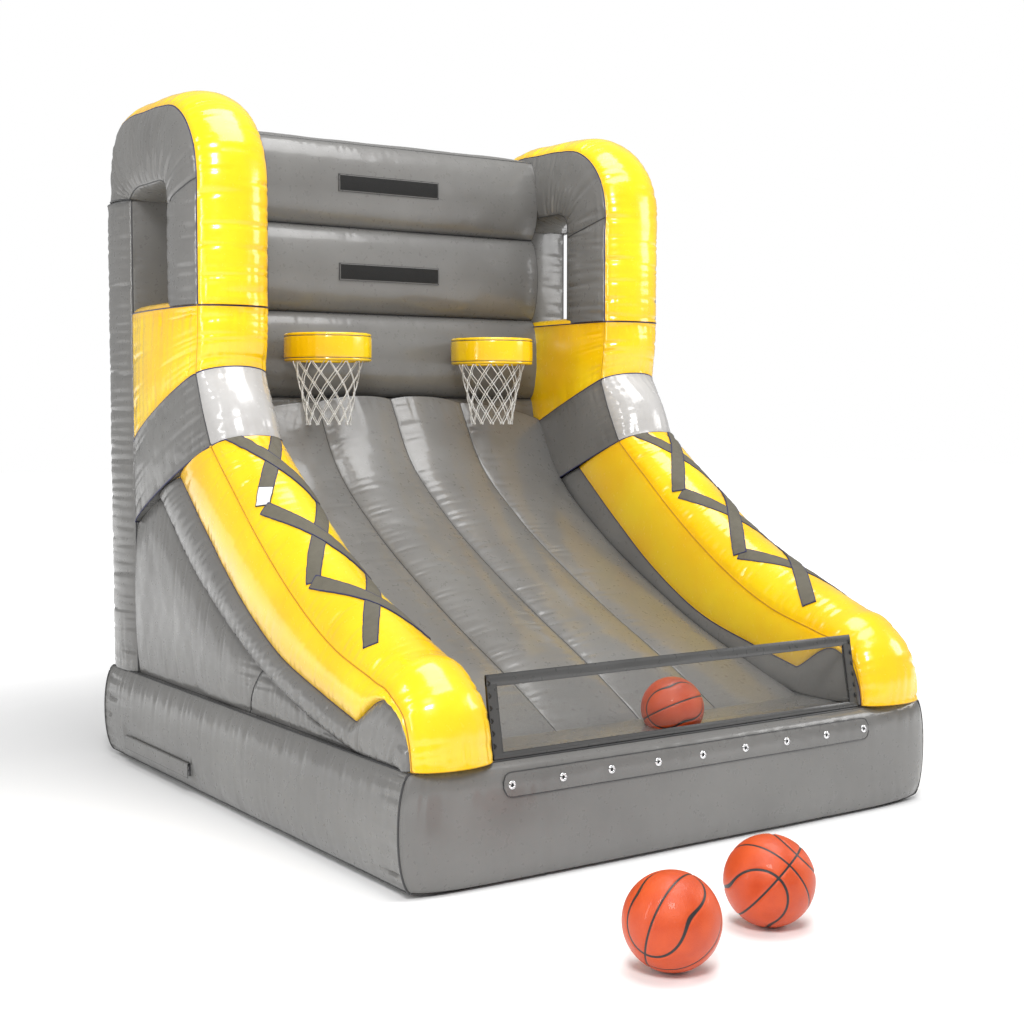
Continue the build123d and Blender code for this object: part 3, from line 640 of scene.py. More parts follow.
def build_tower(side_name, side):
    """The six chambers of a tower and their welts; gives back the crest panel of its slope."""
    seed = 1000 if side < 0 else 2000
    welts = {"navy": [], "dark": [], "amber": []}

    def part(piece, shape, cuts, paints, slot, number, edges, nodes=(), **settings):
        """One chamber of the tower; edges names the seams that get each welt."""
        borders = padded_chamber(f"{side_name}_{piece}", *shape, cuts, paints, slot,
                                 [f"{side_name}_{node}" for node in nodes or [piece]],
                                 seed=seed + number, **settings)
        for welt, seams in edges.items():
            welts[welt] += [borders[seam] for seam in seams]
        return borders

    # rear post
    rows = [((0.915, z), (0.901, z), (1.152, z), (1.172, z)) for z in (BASE_TOP, 0.9, 1.4, 1.8, 2.132)]
    shape = tower_rings(side, rows, 0.028, 0.004, outer=1.0)
    cuts = [Sheet(30, folds=(0.0025, 0.001), reach=0.09), hidden(30),
            Sheet(30, folds=(0.001, 0.0035), reach=0.09),
            Sheet(30, 0, (2, 0.6), folds=(0.0045, 0.0045), reach=0.15)]
    part("rear_post", shape, cuts, [grey], "grey_vinyl", 0, {"dark": (0, 3, "last")}, waves=0.0015)

    # front post and arch: one loop of yellow crest and grey sides
    cuts = [
        Sheet(40, 1, (2, 0.6), (0.0055, 0.0055), 0.12, (0.003, 0.0)),
        Sheet(30, 0, (2, 0.62), (0.005, 0.006), 0.13, (0.002, 0.003), rib=(0.40, 0.36)),
        Sheet(40, 0, (2, 0.7), (0.003, 0.003), 0.07, (0.002, 0.003)),
        Sheet(30, 0, (2, 0.62), (0.0065, 0.006), 0.14, (0.002, 0.005), rib=(0.37, 0.41)),
    ]
    edges = {"navy": (0, 1), "dark": (2, 3, ("rib", 1), ("rib", 3), "last")}
    part("arch_loop", tower_rings(side, arch_rows(), 0.03, 0.022), cuts, [grey, yellow], "yellow_vinyl", 11,
         edges, ("arch", "front_post"), pinch=0.05, waves=0.0013)

    # shoulder block under the slot
    rows = [((0.283, 1.707), (0.222, 1.707), (0.893, 1.707), (0.897, 1.707)),
            ((0.289, 1.60), (0.226, 1.61), (0.893, 1.48), (0.897, 1.48)), COLLAR_TOP]
    cuts = [Sheet(40, 0, (2, 0.6), (0.004, 0.004), 0.1), Sheet(60, 0, folds=(0.003, 0.003), reach=0.1),
            hidden(40), Sheet(60, 0, (2, 0.65), folds=(0.006, 0.006), reach=0.15)]
    part("shoulder", tower_rings(side, rows, 0.034, 0.02), cuts, [yellow], "yellow_vinyl", 21,
         {"navy": ("first", "last")}, caps=(0.03, -0.006), waves=0.0012)

    # silver-fronted collar
    middle = ((0.255, 1.35), (0.155, 1.392), (0.893, 1.08), (0.897, 1.078))
    shape = tower_rings(side, [COLLAR_TOP, middle, COLLAR_FOOT], 0.036, 0.022)
    cuts = [Sheet(40, 1, (2, 0.58), (0.004, 0.004), 0.1), Sheet(60, 0, folds=(0.003, 0.003), reach=0.1),
            hidden(40), Sheet(60, 0, (2, 0.65), folds=(0.0055, 0.006), reach=0.14)]
    part("collar", shape, cuts, [grey, silver], "silver_vinyl", 31, {"navy": ("last",), "dark": (0, 1)},
         caps=(-0.006, -0.006), waves=0.0012)

    # slope bolster
    stations, bulges = [], []
    for index, (seam, crest, band, bottom) in enumerate(SLOPE_ROWS):
        fade = 1.0 if index < 6 else max(0.12, 1 - 0.3 * (index - 5))
        stations.append([(side * x, *corner) for x, corner in (
            (TOWER_OUT, seam), (TOWER_IN, seam), (TOWER_IN, band),
            (TOWER_IN, bottom), (TOWER_OUT, bottom), (TOWER_OUT, band),
        )])
        bulges.append([
            (0, crest[0] - seam[0], crest[1] - seam[1]),
            (-side * 0.01 * fade, 0, 0), (-side * 0.008, 0, 0), (0, 0, 0.002),
            (side * 0.024 * max(fade, 0.7), 0, 0), (side * 0.026 * fade, 0, 0),
        ])
    cuts = [
        Sheet(44, 1, (2, 0.56), (0.0055, 0.0045), 0.11),
        Sheet(14, 1, folds=(0.001, 0.001), reach=0.05), Sheet(14, 0, folds=(0.001, 0.001), reach=0.05),
        hidden(44),
        Sheet(14, 0, (2, 0.65), folds=(0.0055, 0.004), reach=0.1),
        Sheet(14, 1, folds=(0.0025, 0.002), reach=0.08),
    ]
    edges = {"amber": (0, 1), "navy": (2, 5), "dark": (4,)}
    slope = part("slope_bolster", (stations, bulges), cuts, [grey, yellow], "yellow_vinyl", 41, edges,
                 quad=(0, 1, 3, 4), pinch=0.1, caps=(-0.006, 0.0), waves=0.0012, kinks=[(5, 2), (5, 5)])

    # side gusset
    stations, bulges = [], []
    outer = side * (TOWER_OUT - 0.012)
    for top, foot in GUSSET_ROWS:
        size = min(1.0, (top[1] - foot[1]) / 0.25)
        stations.append([(outer, *top), (side * TOWER_IN, *top), (side * TOWER_IN, *foot), (outer, *foot)])
        bulges.append([(0, 0, -0.002), (-side * 0.004, 0, 0), (0, 0, 0), (side * 0.026 * size, 0, 0)])
    cuts = [hidden(40), hidden(56), hidden(40),
            Sheet(56, 0, (2, 0.7), (0.001, 0.0028), 0.16, rib=(1.02, 1.12))]
    part("side_gusset", (stations, bulges), cuts, [grey], "grey_vinyl", 51, {"dark": (3, ("rib", 3))},
         pinch=0.3, waves=0.0028)

    for key, paint, slot in (("navy", navy_welt, "yellow_vinyl"), ("dark", dark_welt, "grey_vinyl"),
                             ("amber", amber_welt, "yellow_vinyl")):
        settle(tubes(f"{side_name}_{key}_welts", welts[key], WELT, paint), slot)
    return slope["panel", 0]


bolsters = {name: build_tower(name, side) for name, side in SIDES.items()}


# ---- base ----------------------------------------------------------------------------------
BASE_X, BASE_Y, BASE_FOOT = 1.016, 1.137, 0.02
BASE_WELT = 0.0032
VENT_SKIN_X = -1.0449                     # the skin's flat side behind the zip
vent_low, vent_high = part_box("vent_tape")


def flatten_at_vent(points):
    """The side is drawn flat behind the zip so that the zip lies on it, and nothing is under the floor."""
    reach = 0.035
    y_in = np.minimum(points[:, 1] - vent_low.y, vent_high.y - points[:, 1]) / reach + 1
    z_in = np.minimum(points[:, 2] - vent_low.z, vent_high.z + 0.014 - points[:, 2]) / reach + 1
    share = smoothstep(y_in) * smoothstep(z_in) * (points[:, 0] < -0.9)
    points[:, 0] += share * (VENT_SKIN_X - points[:, 0])
    points[:, 2] = np.maximum(points[:, 2], 0.0)
    return points


def build_base():
    stations, bulges = [], []
    for y in np.linspace(-BASE_Y, BASE_Y, 5):
        stations.append([(-BASE_X, y, BASE_FOOT), (-BASE_X, y, BASE_TOP),
                         (BASE_X, y, BASE_TOP), (BASE_X, y, BASE_FOOT)])
        bulges.append([(-0.037, 0, 0), (0, 0, -0.002), (0.037, 0, 0), (0, 0, -BASE_FOOT)])
    cuts = [Sheet(34, 0, (2.2, 0.62), (0.003, 0.005), 0.13, (0.009, 0.009)), hidden(136),
            Sheet(34, 0, (2.2, 0.62), (0.005, 0.003), 0.13, (0.009, 0.009)), Sheet(136, 0, (12, 1), (0, 0))]
    borders = padded_chamber("base_skin", stations, bulges, cuts, [grey],
                             nodes=["base_cushion", "left_side_rail", "right_side_rail"], step=0.0125,
                             pinch=0.0, caps=(0.05, 0.038), waves=0.0012, seed=4000, edit=flatten_at_vent)
    paths = [borders[key] for key in (0, 1, 2, 3, "first", "last")]
    on_floor = [np.maximum(path, (-np.inf, -np.inf, BASE_WELT)) for path in paths]
    settle(tubes("base_welts", on_floor, BASE_WELT, dark_welt), "grey_vinyl")


build_base()


# ---- ramp and ball trough ------------------------------------------------------------------
RAMP_ROWS = [(0.722, 1.392), (0.577, 1.162), (0.290, 0.937), (-0.040, 0.752), (-0.300, 0.627),
             (-0.620, 0.482), (-0.850, 0.364), (-0.962, 0.302), (-1.03, 0.294), (-1.088, 0.294)]
RAMP_HALF = 0.735
RAMP_SEAMS = (-RAMP_HALF, -0.330, 0.0, 0.330, RAMP_HALF)
RAMP_SWELL = 0.026
INNER_HALF = 0.737                        # half the width between the towers


def ramp_drop(x, y):
    """The outer channels fall towards the towers, except in the trough."""
    return 0.085 * (abs(x) / RAMP_HALF) ** 2.2 * float(np.clip((y + 0.95) / 0.5, 0, 1))


def build_ramp():
    welts = []
    for number, (x_low, x_high) in enumerate(zip(RAMP_SEAMS, RAMP_SEAMS[1:]), start=1):
        stations, bulges = [], []
        for y, z in RAMP_ROWS:
            ends = [(x, y, z - ramp_drop(x, y)) for x in (x_low, x_high)]
            depth = 0.06 if z > 0.4 else 0.03
            stations.append([ends[0], ends[1], (x_high, y + 0.6 * depth, ends[1][2] - depth),
                             (x_low, y + 0.6 * depth, ends[0][2] - depth)])
            # nearly flat at the trough, so that the ball has room
            level = np.clip((y + 0.97) / 0.45, 0.0, 1.0) * 0.96 + 0.04
            swell = (0, -0.5 * RAMP_SWELL * level, RAMP_SWELL * level)
            bulges.append([swell, (0, 0, 0), (0, 0, 0), (0, 0, 0)])
        cuts = [Sheet(40, 0, (2, 0.75), (0.0016, 0.0016), 0.11, (0.002, 0.002)),
                hidden(5), hidden(40), hidden(5)]
        borders = padded_chamber(f"ramp_channel_{number}", stations, bulges, cuts, [grey],
                                 seed=5000 + 37 * number, pinch=0.2, waves=0.0016)
        welts += [borders[0]] + ([borders[1]] if number == 4 else [])
    settle(tubes("ramp_welts", welts, 0.002, dark_welt), "grey_vinyl")


def build_front_lip():
    """Padded lip between the trough and the front face, under the ball screen."""
    stations, bulges = [], []
    for x in np.linspace(-INNER_HALF, INNER_HALF, 5):
        stations.append([(x, -1.152, 0.335), (x, -1.092, 0.336), (x, -1.088, 0.25), (x, -1.128, 0.25)])
        bulges.append([(0, 0, 0.014), (0, 0.004, 0), (0, 0, 0), (0, -0.004, 0)])
    cuts = [Sheet(16, 0, folds=(0.002, 0.002), reach=0.04), Sheet(10, 0, folds=(0.001, 0.001), reach=0.04),
            hidden(16), hidden(10)]
    padded_chamber("front_lip", stations, bulges, cuts, [grey], seed=6100, pinch=0.0)


build_ramp()
build_front_lip()


# ---- back wall and backboard ---------------------------------------------------------------
BOARD_FRONT, BOARD_REAR = 0.79, 1.105     # seams of the wall and of the tubes


def cross_tube(name, low, high, seed, top_swell=0.004, folds=0.001):
    """A full-width chamber at the back between two seam heights; gives back its four seams."""
    stations, bulges = [], []
    for x in np.linspace(-INNER_HALF, INNER_HALF, 7):
        stations.append([(x, y, z) for y, z in ((BOARD_FRONT, low + 0.001), (BOARD_FRONT, high - 0.001),
                                                (BOARD_REAR, high - 0.001), (BOARD_REAR, low + 0.001))])
        bulges.append([(0, -0.069, 0), (0, 0, top_swell), (0, 0.064, 0), (0, 0, -0.002)])
    face = Sheet(max(24, round((high - low) / 0.011)), 0, (2, 0.58), (folds, folds), 0.07, (0.004, 0.004))
    cuts = [face, Sheet(26, 0, (2, 0.6), (0.001, 0.001)), face, hidden(26)]
    borders = padded_chamber(name, stations, bulges, cuts, [grey], seed=seed, step=0.009, pinch=0.25,
                             caps=(0.004, 0.004), waves=0.0014)
    return [borders[index] for index in range(4)]


def build_backboard():
    paths = cross_tube("rear_wall_lower", BASE_TOP, 1.40, 6200, folds=0.002)
    paths += cross_tube("board_tube_lower", 1.40, 1.735, 6300)
    paths += cross_tube("board_tube_middle", 1.735, 2.075, 6400)
    paths += cross_tube("board_tube_top", 2.075, 2.405, 6500, 0.03)
    settle(tubes("board_welts", paths, WELT, dark_welt), "grey_vinyl")
    # patches: pile rectangles in a welded frame, bent with the swell of their tube
    parts = (("frame", 0.229, 0.034, 0.7175, grey, "grey_vinyl"),
             ("pile", 0.2235, 0.0285, 0.7155, hook_pile, "hook_and_loop"))
    nx, nz, bend = 60, 10, 1.8
    for number, z in enumerate((1.893, 2.239), start=1):
        for part, half_x, half_z, y, paint, slot in parts:
            xs, zs = np.linspace(-half_x, half_x, nx), np.linspace(-half_z, half_z, nz)
            front, back = ([(x, y + bend * w * w + thick, z + w) for x in xs for w in zs]
                           for thick in (0, 0.0035))
            made = slab(f"board_patch_{number}_{part}", front, back, nx, nz, paint)
            settle(made, slot, "board_patches")


def slab(name, front, back, rows, columns, paint):
    """A thin closed sheet between two matching grids of points."""
    points = np.array(list(front) + list(back), float)
    count = rows * columns
    ids = np.arange(count).reshape(rows, columns)
    loop = np.concatenate((ids[:-1, 0], ids[-1, :-1], ids[:0:-1, -1], ids[0, :0:-1]))
    ahead = np.roll(loop, -1)
    cells = [grid_cells(ids), grid_cells(ids + count)[:, [0, 3, 2, 1]],
             np.stack((loop, ahead, ahead + count, loop + count), -1)]
    faces = np.concatenate(cells).tolist()
    distances = edge_distances(points[:count].reshape(rows, columns, 3))
    attributes = {"seam": np.tile(np.minimum.reduce(distances).ravel(), 2),
                  "along": np.tile(distances[0].ravel(), 2)}
    return finish_mesh(name, points, faces, [paint], attributes)


build_backboard()


# ---- crosses on the slopes -----------------------------------------------------------------
class Crown:
    """The crest panel of a bolster, read as a flat cloth: run along it and arc across it."""

    def __init__(self, grid):
        self.grid = grid
        middle = grid[:, grid.shape[1] // 2]
        self.run = arc_length(middle)
        self.y = middle[:, 1]
        self.arc = np.cumsum(np.linalg.norm(np.diff(grid, axis=1, prepend=grid[:, :1]), axis=-1), axis=1)
        self.normals = normals_of(grid, np.broadcast_to((0, -0.5, 1.0), grid.shape))

    def run_at(self, y):
        return float(np.interp(-y, -self.y, self.run))

    def place(self, run, arc):
        """Point and normal at a run and at an arc measured from the middle of the crest."""
        row = float(np.interp(run, self.run, np.arange(len(self.run))))
        low = int(min(row, len(self.run) - 2))
        found = []
        for line in (low, low + 1):
            arcs = self.arc[line] - self.arc[line, -1] / 2
            column = float(np.interp(arc, arcs, np.arange(len(arcs))))
            first = int(min(column, len(arcs) - 2))
            share = column - first
            found.append([store[line, first] * (1 - share) + store[line, first + 1] * share
                          for store in (self.grid, self.normals)])
        part = row - low
        point, normal = (found[0][k] * (1 - part) + found[1][k] * part for k in (0, 1))
        return point, normal / np.linalg.norm(normal)


def strap(name, crown, start, end, width, lift, paint):
    """A strap laid over a crest between two (run, arc) places."""
    thickness, sunk = 0.0022, 0.002
    start, end = np.array(start), np.array(end)
    way = (end - start) / np.linalg.norm(end - start)
    across = np.array((-way[1], way[0]))
    rows, columns = 64, 13
    front, back = [], []
    for i in range(rows):
        middle = start + (end - start) * i / (rows - 1)
        for j in range(columns):
            run, arc = middle + across * width * (j / (columns - 1) - 0.5)
            point, normal = crown.place(run, arc)
            front.append(tuple(point + normal * (lift + thickness)))
            back.append(tuple(point + normal * (lift - sunk)))
    return slab(name, front, back, rows, columns, paint)


def build_crosses(side_name, side):
    crown = Crown(bolsters[side_name])
    reach_run, reach_arc, width = 0.195, 0.112, 0.05
    made = []
    for number, centre_y in enumerate((-0.02, -0.352, -0.695), start=1):
        centre = crown.run_at(centre_y)
        # arcs grow from the outer seam to the inner one
        over = ((centre - reach_run, -reach_arc), (centre + reach_run, reach_arc))
        under = ((centre - reach_run, reach_arc), (centre + reach_run, -reach_arc))
        for layer, (a, b), lift in (("under", under, 0.0006), ("over", over, 0.0026)):
            name = f"{side_name}_cross_{number}_{layer}"
            made.append(strap(name, crown, a, b, width, lift, strap_cloth))
        if side < 0 and number == 1:
            a, b = np.array(under[0]), np.array(under[1])
            tip = a + (b - a) * 0.82
            made.append(strap("left_cross_tip", crown, tip, b, width + 0.001, 0.0022, white_tip))
    for piece in made:
        settle(piece, "webbing", f"{side_name}_cross_straps")


for side_name, side in SIDES.items():
    build_crosses(side_name, side)


# ---- hoops and nets ------------------------------------------------------------------------
def revolve(name, profile, centre, turns, paint, flutter=0.0, seed=0):
    """A closed profile of (radius, height) turned about a vertical axis."""
    profile = np.asarray(profile, float)
    angles = np.arange(turns) * 2 * np.pi / turns
    ids = np.arange(turns * len(profile)).reshape(turns, -1)
    points = np.empty((turns, len(profile), 3))
    wave = flutter * ripple(np.stack((np.cos(angles), np.sin(angles), angles * 0), -1) * 0.3, 0.05, seed)
    radii = profile[None, :, 0] + wave[:, None]
    points[..., 0] = centre[0] + radii * np.cos(angles)[:, None]
    points[..., 1] = centre[1] + radii * np.sin(angles)[:, None]
    points[..., 2] = centre[2] + profile[None, :, 1]
    faces = ring_cells(ids, closed=True).tolist()
    heights = np.tile(profile[:, 1], turns)
    return finish_mesh(name, points.reshape(-1, 3), faces, [paint],
                       {"seam": np.full(len(heights), 0.02), "along": heights})


HEM_LINE = 0.012                          # stitching of a hoop cover, from its edges


def band_profile(inner, outer, height):
    """Section of the padded band: two rounded walls with a stitched-in line near each hem."""
    rows, steps = [], 40
    for i in range(steps + 1):
        t = i / steps
        z = height * t
        hem = min(z, height - z)
        groove = 0.0022 * math.exp(-(((hem - HEM_LINE) / 0.0024) ** 2))
        edge = 0.006 * (1 - min(1.0, hem / 0.006)) ** 2
        rows.append((outer - groove - edge + 0.0015 * math.sin(math.pi * t), z))
    for i in range(steps + 1):
        t = 1 - i / steps
        z = height * t
        edge = 0.006 * (1 - min(1.0, min(z, height - z) / 0.006)) ** 2
        rows.append((inner + edge - 0.001 * math.sin(math.pi * t), z))
    return rows


def net_radius(z_share):
    """Radius of the net from its top (0) to its foot (1)."""
    return 0.1345 - 0.058 * z_share ** 0.8 + 0.006 * z_share ** 6


def build_hoop(side_name):
    """Padded cover with its stitching, knotted net and tab of one hoop."""
    low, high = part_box(f"{side_name}_hoop_cover")
    x, y = (low.x + high.x) / 2, (low.y + high.y) / 2
    outer, height = (high.x - low.x) / 2, high.z - low.z
    inner = outer - 0.0275
    seed = 7000 + (0 if side_name == "left" else 50)
    turns = 160
    cover = revolve(f"{side_name}_hoop_cover", band_profile(inner, outer, height), (x, y, low.z),
                    turns, yellow, 0.0008, seed)
    settle(cover, "yellow_vinyl", f"{side_name}_hoop_cover")
    angles = np.linspace(0, 2 * np.pi, turns, endpoint=False)
    lines = [
        np.stack((x + radius * np.cos(angles), y + radius * np.sin(angles), np.full_like(angles, z)), -1)
        for z, radius in ((low.z + HEM_LINE, outer - 0.0007), (high.z - HEM_LINE, outer - 0.0007),
                          (high.z - 0.001, outer - 0.006))
    ]
    hem = tubes(f"{side_name}_hoop_hem", lines, 0.0011, navy_welt, 5, True)
    settle(hem, "yellow_vinyl")
    net_low, net_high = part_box(f"{side_name}_net")
    loops, rows, samples = 12, 6, 8
    top, drop = net_high.z, net_high.z - net_low.z - 0.004

    def hang(turn, share, slack=0.0):
        """A point of the net at a turn and at a share of its way down."""
        radius = net_radius(share) + slack
        return (x + radius * math.cos(turn), y + radius * math.sin(turn), top - drop * share ** 0.93)

    parts = []
    for strand in range(2 * loops):
        way = 1 if strand % 2 else -1
        begin = 2 * np.pi * (strand // 2) / loops
        path = []
        for i in range(rows * samples + 1):
            share = i / (rows * samples)
            slack = 0.0018 * math.sin(math.pi * (share * rows % 1))
            slack += 0.0012 * wander(share * 2.1, seed + strand)
            turn = begin + way * np.pi / loops * share * rows
            path.append(hang(turn, share, slack * (1 if share > 0.03 else 0)))
        parts.append(tube(path, 0.0019, 6))
    for row in range(1, rows + 1):
        for k in range(loops):
            turn = 2 * np.pi * (k + 0.5 * (row % 2)) / loops
            parts.append(knot_shape(hang(turn, row / rows), 0.0042))
    net = finish_mesh(f"{side_name}_net", *joined(parts), [cord_white])
    settle(net, "white_cord", f"{side_name}_net")
    tab_low, tab_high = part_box(f"{side_name}_hoop_tab")
    tab = saddle(f"{side_name}_hoop_tab", tab_low, tab_high, x, y, outer)
    settle(tab, "yellow_vinyl", f"{side_name}_hoop_tab")


def knot_shape(place, radius):
    """A small lumpy knot, taller than it is wide."""
    points, faces = [], []
    rings, sides = 5, 8
    for i in range(1, rings):
        tilt = math.pi * i / rings
        for j in range(sides):
            turn = 2 * math.pi * j / sides
            lump = radius * (1 + 0.14 * math.sin(3 * turn + i))
            points.append((place[0] + lump * math.sin(tilt) * math.cos(turn),
                           place[1] + lump * math.sin(tilt) * math.sin(turn),
                           place[2] + 1.25 * radius * math.cos(tilt)))
    for i in range(rings - 2):
        for j in range(sides):
            a, b = i * sides + j, i * sides + (j + 1) % sides
            faces.append([a, b, b + sides, a + sides])
    faces.append(list(range(sides)))
    faces.append(list(range((rings - 2) * sides, (rings - 1) * sides)))
    return np.array(points), faces


def saddle(name, low, high, x, y, outer):
    """Welded flap between the band and the backboard, hollowed to the band."""
    columns, rows = 24, 16
    front, back = [], []
    for i in range(columns):
        px = low.x + (high.x - low.x) * i / (columns - 1)
        near = y + math.sqrt(max(outer ** 2 - (px - x) ** 2, 0))
        for j in range(rows):
            pz = low.z + (high.z - low.z) * j / (rows - 1)
            round_off = 0.006 * abs(2 * j / (rows - 1) - 1) ** 4
            front.append((px, near + 0.0004 + round_off, pz))
            flare = 0.004 if j == rows - 1 else -0.004 if j == 0 else 0
            back.append((px, high.y + 0.006, pz + flare))
    return slab(name, front, back, columns, rows, yellow)


for side_name in SIDES:
    build_hoop(side_name)


# ---- ball screen ---------------------------------------------------------------------------
def build_screen():
    """Clear window, its sewn hem and the lacing at both ends, on a line sloping from foot to top."""
    _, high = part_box("screen_hem")
    foot, top = Vector((0, -1.130, 0.351)), Vector((0, -1.086, 0.592))
    rise = (top - foot).normalized()
    out = Vector((1, 0, 0)).cross(rise)
    half, height, hem = high.x, (top - foot).length, 0.035

    def sag(x, up):
        """The film leans in and out a little between its fixings."""
        share = math.sin(math.pi * min(max(up / height, 0), 1))
        return 0.003 * math.sin(9 * x + 1) * share + 0.002 * math.sin(23 * x) * share

    def place(x, up, off):
        point = foot + rise * up - out * (off + sag(x, up))
        return (x, point.y, point.z)

    nx, nz, tucked = 120, 22, 0.004
    xs = np.linspace(-half + hem - tucked, half - hem + tucked, nx)
    ups = np.linspace(hem - tucked, height - hem + tucked, nz)
    front, back = ([place(x, up, off) for x in xs for up in ups] for off in (0.0004, -0.0004))
    window = slab("screen_window", front, back, nx, nz, clear)
    settle(window, "clear_vinyl", "screen_window")
    bands = {
        "top": (np.linspace(-half, half, nx), np.linspace(height - hem, height, 7)),
        "bottom": (np.linspace(-half, half, nx), np.linspace(0, 0.022, 5)),
        "left": (np.linspace(-half, -half + hem, 7), np.linspace(0.0, height, 34)),
        "right": (np.linspace(half - hem, half, 7), np.linspace(0.0, height, 34)),
    }
    for key, (across, upward) in bands.items():
        thick = 0.0052 if key in ("left", "right") else 0.0044
        front, back = [], []
        for x in across:
            for up in upward:
                share = (up - upward[0]) / (upward[-1] - upward[0])
                swell = thick * (1 - 0.6 * abs(2 * share - 1) ** 3)
                front.append(place(x, up, swell))
                back.append(place(x, up, -swell))
        made = slab(f"screen_hem_{key}", front, back, len(across), len(upward), hem_vinyl)
        settle(made, "grey_vinyl", "screen_hem")
    # lacing at both sides of the screen
    laces, samples = [], 60
    for side in (-1, 1):
        path = []
        for i in range(samples + 1):
            share = i / samples
            wave = math.sin(share * math.pi * 12)
            point = place(side * (half - 0.006), height * (0.06 + 0.88 * share), 0.0085 * wave)
            path.append((side * (half - 0.004 - 0.006 * abs(wave)), point[1], point[2]))
        laces.append(np.array(path))
    settle(tubes("screen_lacing", laces, 0.0028, black_cord, 8), "black_webbing")


hem_vinyl = vinyl("hem_vinyl", (0.07, 0.07, 0.068), (0.045, 0.045, 0.044), (0.085, 0.085, 0.083),
                  SOOT, 0.3, 0.25)
black_cord = plain_detail("black_cord", (0.02, 0.02, 0.02), 0.7, 400.0, 0.0004)
base_front = surface_of(bpy.data.objects["base_skin"])


def front_face(x, z):
    """The base's front skin at a place, found from well in front of it."""
    point, _, _, _ = base_front.ray_cast(Vector((x, -1.6, z)), Vector((0, 1, 0)))
    return point.y


def build_strip():
    """Eyelet strip, following the swollen front of the base."""
    low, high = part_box("grommet_strip")
    half, round_off = high.x, 0.03
    middle = (low.z + high.z) / 2
    nx, nz = 150, 9
    front, back = [], []
    for i in range(nx):
        x = -half + 2 * half * i / (nx - 1)
        corner = 1 - math.sqrt(max(0.0, 1 - max(0.0, (abs(x) - (half - round_off)) / round_off) ** 2))
        for j in range(nz):
            z = low.z + (high.z - low.z) * j / (nz - 1)
            z = middle + (z - middle) * (1 - 0.75 * corner)
            y = front_face(x, z)
            front.append((x, y - 0.0032, z))
            back.append((x, y + 0.004, z))
    strip = slab("grommet_strip", front, back, nx, nz, grey)
    settle(strip, "grey_vinyl", "grommet_strip")
    grid = np.array(front).reshape(nx, nz, 3)
    edges = [grid[:, 0], grid[:, nz - 1]]
    settle(tubes("grommet_strip_edges", edges, 0.0016, dark_welt), "grey_vinyl")
    # eyelets: rolled flange round a hole, and a black plug in each hole, painted shade for its dark inside
    count, pitch, flange, bore = 9, 0.177, 0.0088, 0.006
    rings, holes = [], []
    for k in range(count):
        x = pitch * (k - count // 2)
        y = front_face(x, middle) - 0.0036
        slope = (front_face(x, middle + 0.01) - front_face(x, middle - 0.01)) / 0.02

        def circle(radius, sides, depth=0.0):
            turns = np.linspace(0, 2 * np.pi, sides, endpoint=False)
            return np.array([(x + radius * math.cos(t), y + depth + radius * math.sin(t) * slope,
                              middle + radius * math.sin(t)) for t in turns])

        rings.append(circle(flange, 28))
        ends = np.arange(40).reshape(2, 20)
        walls = np.stack((ends[0], np.roll(ends[0], -1), np.roll(ends[1], -1), ends[1]), -1)
        holes.append((np.concatenate((circle(bore, 20, -0.0008), circle(bore, 20, 0.002))),
                      ends.tolist() + walls.tolist()))
    ring = tubes("grommets", rings, 0.0042, steel, 10, True)
    settle(ring, "steel", "grommets")
    hole_shade = finish_mesh("grommet_hole_shade", *joined(holes), [black_cord], smooth=False)
    settle(hole_shade, "steel")


build_screen()
build_strip()


# ---- balls ---------------------------------------------------------------------------------
def groove_depth(direction):
    """0 on the panels and 1 in the channels of a ball, from unit directions in its own frame."""
    x, y, z = direction[..., 0], direction[..., 1], direction[..., 2]
    flat = np.maximum(y * y + z * z, 1e-6)
    loop = np.abs(x) - (0.80 - 0.42 * z * z / flat)
    nearest = np.minimum.reduce([np.abs(x), np.abs(y), np.abs(loop) * 0.85])
    return np.clip(1 - nearest / 0.052, 0, 1)


def build_ball(name, tilt):
    """A ball's cover about its centre, its channels turned by three angles in degrees."""
    low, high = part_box(f"{name}_cover")
    centre, radius = (low + high) / 2, (high.x - low.x) / 2
    rows, turns = 150, 300
    tilts = np.pi * (np.arange(1, rows) / rows)
    spins = 2 * np.pi * np.arange(turns) / turns
    direction = np.stack((
        np.sin(tilts)[:, None] * np.cos(spins)[None],
        np.sin(tilts)[:, None] * np.sin(spins)[None],
        np.broadcast_to(np.cos(tilts)[:, None], (rows - 1, turns)),
    ), -1)
    poles = np.array([[0, 0, 1.0], [0, 0, -1.0]])
    direction = np.concatenate((direction.reshape(-1, 3), poles))
    a, b, c = (math.radians(t) for t in tilt)
    turn_x = np.array([[1, 0, 0], [0, math.cos(a), -math.sin(a)], [0, math.sin(a), math.cos(a)]])
    turn_y = np.array([[math.cos(b), 0, math.sin(b)], [0, 1, 0], [-math.sin(b), 0, math.cos(b)]])
    turn_z = np.array([[math.cos(c), -math.sin(c), 0], [math.sin(c), math.cos(c), 0], [0, 0, 1]])
    groove = groove_depth(direction @ (turn_z @ turn_y @ turn_x))
    points = direction * (radius - 0.0016 * smoothstep(groove * 1.6))[:, None]
    ids = np.arange((rows - 1) * turns).reshape(rows - 1, turns)
    faces = ring_cells(ids)[:, [0, 3, 2, 1]].tolist()
    top = ids.size
    faces += [[top, int(a), int(b)] for a, b in zip(ids[0], np.roll(ids[0], -1))]
    faces += [[top + 1, int(b), int(a)] for a, b in zip(ids[-1], np.roll(ids[-1], -1))]
    cover = finish_mesh(f"{name}_cover", points, faces, [ball_skin], {"groove": groove}, sharp=60)
    cover.location = centre
    settle(cover, "ball_rubber", f"{name}_cover", body=f"{name}_spin")


